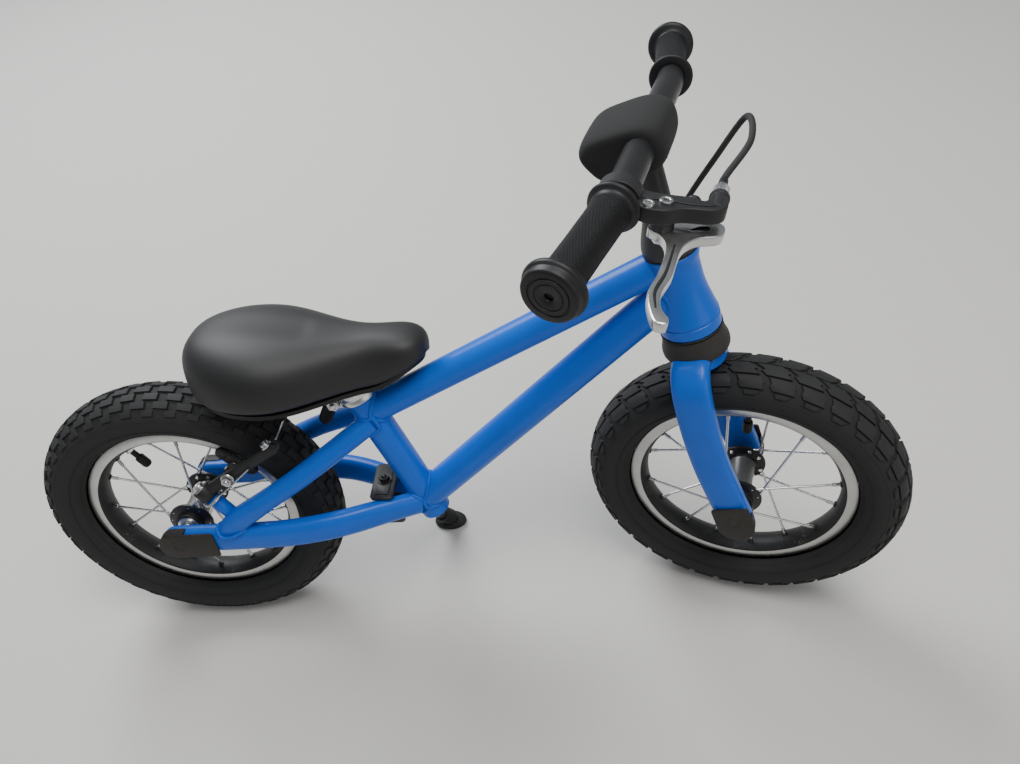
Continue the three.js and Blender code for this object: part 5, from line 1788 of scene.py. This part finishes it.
    def cover(self) -> None:
        """The padded vinyl top, wrapped round the shell's edge."""
        ease = 0.75
        rings = []
        for share in self.rows(46):
            half, low, centre, top = self.station(share)
            taper = (1 - abs(2 * share - 1) ** 8) ** 0.4
            x = self.back + self.length * share
            ring = []
            for k in range(41):
                turn = math.radians(-58 + 296 * k / 40)
                c, s = math.cos(turn), math.sin(turn)
                across = math.copysign(abs(c) ** ease, c) * half
                rise = (top - centre if s > 0 else centre - low) * math.copysign(abs(s) ** ease, s) * taper
                dished = 1.6 * math.exp(-(across / 13) ** 2) * smoothstep(share, 0.1, 0.35) * (s > 0.4)
                ring.append(vec(x, across, centre + rise - dished * smoothstep(1.0, share, 0.55)))
            inner = low + 5.5
            last, first = ring[-1], ring[0]
            for t in (0.14, 0.32, 0.5, 0.68, 0.86):
                p = last.lerp(first, t)
                ring.append(vec(p.x, p.y, min(inner, centre + 2)))
            rings.append(ring)
        shape = Shape().sheet(rings, ends=True)
        cover = Studio.piece("saddle_cover", shape, self.layout.leaned, "seat", [VINYL], ["saddle"],
                             smooth=1)

    def shell(self) -> None:
        """The moulded shell under the padding, whose edge shows as a thin lip."""
        rings = []
        for share in self.rows(36):
            half, low, centre, _ = self.station(share)
            x = self.back + self.length * (0.5 + (share - 0.5) * 0.955)
            half *= 0.955
            lip = min(low + 3.4, centre)
            ring = [vec(x, half * 0.9, lip), vec(x, half * 0.905, low - 0.6),
                    vec(x, half * 0.87, low - 1.7),
                    vec(x, half * 0.83, low - 1.5), vec(x, half * 0.79, low + 1.5),
                    vec(x, half * 0.6, low + 5),
                    vec(x, half * 0.2, low + 7)]
            ring += [vec(p.x, -p.y, p.z) for p in reversed(ring)]
            rings.append(ring)
        shape = Shape().sheet(rings, ends=True)
        for y in (-16, 16):
            shape.add(flat_piece(rounded([(-12, -7), (12, -7), (12, 7), (-12, 7)], 3), 9, 1.2),
                      Matrix.Translation((84, y * 1.35, 311)))
        shape.add(flat_piece(rounded([(-9, -13), (9, -11), (9, 11), (-9, 13)], 3), 9, 1.2),
                  Matrix.Translation((226, 0, 309)))
        Studio.piece("saddle_shell_moulding", shape, self.layout.leaned, "seat", [PLASTIC], ["saddle_base"])

    def rails(self) -> None:
        """The two rails, joined by their bend under the nose."""
        half = [vec(78, 22.8, 310), vec(90, 21, 306), vec(104, 19.2, 303), vec(134, 16, 300),
                vec(170, 16, 300),
                vec(204, 16, 300), vec(221, 11.2, 301)]
        other = [vec(p.x, -p.y, p.z) for p in reversed(half)]
        path = spline([*half, vec(228, 0, 302), *other], 6)
        shape = sweep(path, [oval(6, 6, 20)], vec(0, 0, 1))
        Studio.piece("saddle_rail_wire", shape, self.layout.leaned, "seat", [STEEL], ["saddle_rails"])

    def rail_clamp(self) -> None:
        """The clamp on top of the post, with its serrated cheeks and its bolt."""
        centre = self.on_seat(162.5)
        side_axis = vec(0, 1, 0)
        shape = Shape().add(lathe([(0, -12), (8.3, -12), (8.3, 12), (0, 12)], 40), aimed(centre, side_axis))
        for side in (-1, 1):
            cheek = lathe([(0, 11.4), (9.6, 11.4), (10, 12), (10, 21), (9.2, 22), (0, 22)], 40)
            shape.add(cheek, aimed(centre, side_axis * side))
            shape.add(hex_nut(5.6, 4.4), aimed(centre + vec(0, side * 22, 0), side_axis * side))
        shape.add(lathe([(self.post_radius + 0.3, -9), (self.post_radius + 2.2, -9),
                         (self.post_radius + 2.2, 3),
                         (4, 4)], 48), aimed(centre - self.seat_up * 4, self.seat_up))
        Studio.piece("saddle_clamp_head", shape, self.layout.leaned, "seat", [ZINC], ["saddle_clamp"])


# ---------------------------------------------------------------- kickstand
@dataclass
class Kickstand:
    """The plates that clamp the chain stays, the leg that folds back, and its rubber foot."""

    layout: Layout
    pivot: tuple[float, float, float] = (200.0, 30.0, 124.0)

    def build(self) -> None:
        """Makes the bracket, the leg and the foot."""
        self.bracket()
        self.leg()
        self.foot()

    def bracket(self) -> None:
        """The top plate, the lower block, the clamping bolt and the pivot."""
        corners = [(-12, -21), (-9, -25), (9, -25), (12, -21), (12, 21), (9, 25), (-9, 25), (-12, 21)]
        shape = Shape().add(flat_piece(corners, 3.6, 1.0), Matrix.Translation((200, 0, 170.8)))
        rib = flat_piece([(-7, -20), (7, -20), (7, 20), (-7, 20)], 1.6, 0.6)
        shape.add(rib, Matrix.Translation((200, 0, 172.9)))
        block = [(-14, -8), (-11, -11), (11, -11), (14, -8), (14, 20), (11, 23), (-11, 23), (-14, 20)]
        shape.add(flat_piece(block, 14, 2.0), Matrix.Translation((200, 0, 128)))
        shape.add(rod(vec(200, 0, 121), vec(200, 0, 172), 4, 24, 0.4), kind=1)
        shape.add(lathe([(0, 0), (7.4, 0), (7.4, 1.2), (0, 1.2)], 36), Matrix.Translation((200, 0, 173.4)))
        shape.add(hex_nut(5.6, 3.8), Matrix.Translation((200, 0, 174.4)))
        shape.add(rod(vec(200, 20, 124), vec(200, 39, 124), 4, 24, 0.6), kind=1)
        Studio.piece("stand_bracket_plates", shape, self.layout.leaned, "frame", [BLACK_COAT, STEEL],
                     ["kickstand_bracket"])

    def leg(self) -> None:
        """The bent round leg with its pivot eye."""
        eye = lathe([(4.4, -6.6), (8.8, -6.6), (9.5, -5.9), (9.5, 5.9), (8.8, 6.6), (4.4, 6.6)], 48)
        shape = Shape().add(eye, aimed(vec(200, 30.2, 124), vec(0, 1, 0)))
        path = spline([vec(*p) for p in ((200, 31, 122), (203, 36, 112), (212, 48, 92), (226, 66, 60),
                                         (238.5, 82, 31.5))], 9)
        sections = [oval(mixed(14, 12.6, k / (len(path) - 1)), 12.8, 28, 2.2) for k in range(len(path))]
        shape.add(sweep(path, sections, vec(1, 0, 0)))
        Studio.piece("stand_leg_tube", shape, self.layout.leaned, "kickstand", [STAND], ["kickstand_leg"])

    def foot(self) -> None:
        """The rubber foot: a ringed boot on the leg and a sole that lies flat."""
        low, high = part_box("kickstand_foot")
        spread = high - low
        centre = Vector(((low.x + high.x) / 2, (low.y + high.y) / 2, low.z)) / MM
        place = Matrix.Identity(4)
        place.translation = centre * MM
        to_sole = self.layout.between(self.layout.leaned, place)
        knee, tip = to_sole @ vec(226, 66, 60), to_sole @ vec(238.5, 82, 31.5)
        down = (tip - knee).normalized()
        top = tip.lerp(knee, 0.42)
        run = (tip - top).length + (tip - knee).length * 0.2
        boot = [(6.6, 0), (8.4, 0), (9.2, 0.8)]
        for k in range(4):
            start = 1.6 + 3.6 * k
            boot += [(9.4, start), (9.5, start + 1.9), (8.6, start + 2.3), (8.6, start + 3.1)]
        boot += [(9.5, 16.4), (9.5, run - 2), (8.4, run), (0, run)]
        shape = Shape().add(lathe(boot, 56), aimed(top, down))
        sole_x = min(19.0, spread.x / MM / 2)
        under = tip + down * ((tip - knee).length * 0.12)
        sole = []
        for height, grow in ((0.4, 0.93), (0.0, 0.86), (0.4, 0.95), (1.2, 1.0), (4.8, 1.0), (6.6, 0.95),
                             (7.6, 0.82),
                             (9.0, 0.62)):
            sole.append([vec(under.x + sole_x * grow * math.cos(t), under.y + 12 * grow * math.sin(t),
                             height)
                         for t in full_turn(48)])
        shape.sheet(sole[1:], ends=True)
        Studio.piece("stand_foot_boot", shape, place, "kickstand", [BOOT], ["kickstand_foot"])


# ---------------------------------------------------------------- room
class Room:
    """A plain pale floor, soft lights and the camera."""

    CAMERA = (385.25, -397.79, 798.48)
    YAW, PITCH, ROLL = 1.67536, 0.84415, -0.13483
    LENS = 26.85

    def __init__(self, layout: Layout) -> None:
        """Keeps the bike's frames, which the camera is placed by."""
        self.layout = layout

    def build(self) -> None:
        """Makes the floor, the lights, the sky and the camera."""
        self.floor()
        for name, spot, power, size, warmth in (
                ("window", (-1.2, 1.6, 2.1), 80, 1.5, (0.93, 0.97, 1.0)),
                ("ceiling", (0.4, -0.3, 2.6), 44, 1.3, (1.0, 0.99, 0.97)),
                ("bounce", (1.9, -1.5, 1.2), 10, 1.8, (1.0, 0.97, 0.93))):
            self.lamp(name, Vector(spot), power, size, warmth)
        world = bpy.data.worlds.new("soft_sky")
        world.use_nodes = True
        sky = world.node_tree.nodes["Background"]
        sky.inputs["Color"].default_value = (0.9, 0.95, 1.0, 1)
        sky.inputs["Strength"].default_value = 0.3
        bpy.context.scene.world = world
        self.camera()

    def floor(self) -> None:
        """The floor, level with the lowest point of the bike."""
        ground = CAD_BOX[0][2]
        reach = 4.0
        mesh = bpy.data.meshes.new("floor")
        steps = 8
        points = [(reach * (2 * i / steps - 1), reach * (2 * j / steps - 1), ground)
                  for j in range(steps + 1) for i in range(steps + 1)]
        faces = [(j * (steps + 1) + i, j * (steps + 1) + i + 1, (j + 1) * (steps + 1) + i + 1,
                  (j + 1) * (steps + 1) + i)
                 for j in range(steps) for i in range(steps)]
        mesh.from_pydata(points, [], faces)
        mesh.materials.append(FLOOR.material())
        thing = bpy.data.objects.new("floor", mesh)
        bpy.context.scene.collection.objects.link(thing)

    @staticmethod
    def lamp(name: str, spot: Vector, power: float, size: float,
             colour: tuple[float, float, float]) -> None:
        """Adds a soft square lamp that faces the bike.

        Args:
            name: the lamp's name.
            spot: where it is, in metres.
            power: its power in watts.
            size: the length of its side in metres.
            colour: its colour.
        """
        light = bpy.data.lights.new(name, "AREA")
        light.energy, light.size, light.color = power, size, colour
        holder = bpy.data.objects.new(name, light)
        holder.matrix_world = aimed(spot, spot - Vector((0, 0, 0.2)))
        bpy.context.scene.collection.objects.link(holder)

    def camera(self) -> None:
        """Sets the camera above the bike's right side, looking down at it."""
        ahead = Vector((math.cos(self.YAW) * math.cos(self.PITCH),
                        math.sin(self.YAW) * math.cos(self.PITCH),
                        -math.sin(self.PITCH)))
        level = ahead.cross(Vector((0, 0, 1))).normalized()
        lift = level.cross(ahead)
        right = level * math.cos(self.ROLL) + lift * math.sin(self.ROLL)
        lens = bpy.data.cameras.new("camera")
        lens.lens, lens.sensor_width, lens.sensor_fit = self.LENS, 36.0, "HORIZONTAL"
        lens.clip_start = 0.02
        holder = bpy.data.objects.new("camera", lens)
        spot = self.layout.leaned.translation + Vector(self.CAMERA) * MM
        holder.matrix_world = basis(spot, right, right.cross(ahead), -ahead)
        bpy.context.scene.collection.objects.link(holder)
        bpy.context.scene.camera = holder


def main() -> None:
    """Builds the bike from its frame to its stand."""
    logging.basicConfig(level=logging.INFO, format="%(name)s %(message)s")
    layout = Layout(frame["joints"])
    Room(layout).build()
    welded = FrameSet(layout)
    welded.build()
    Wheel(layout, "rear", layout.leaned, 150, Tread.KNOB).build()
    Wheel(layout, "front", layout.steered, -165, Tread.CHEVRON).build()
    Fork(layout).build()
    Cockpit(layout).build()
    BrakeLever(layout).build()
    RearBrake(layout).build()
    BrakeCable(layout, welded.on_seat(121), Vector(welded.top_front)).build()
    Seat(layout, welded.seat_up, Vector(welded.seat_foot)).build()
    Kickstand(layout).build()


if __name__ == "__main__":
    main()
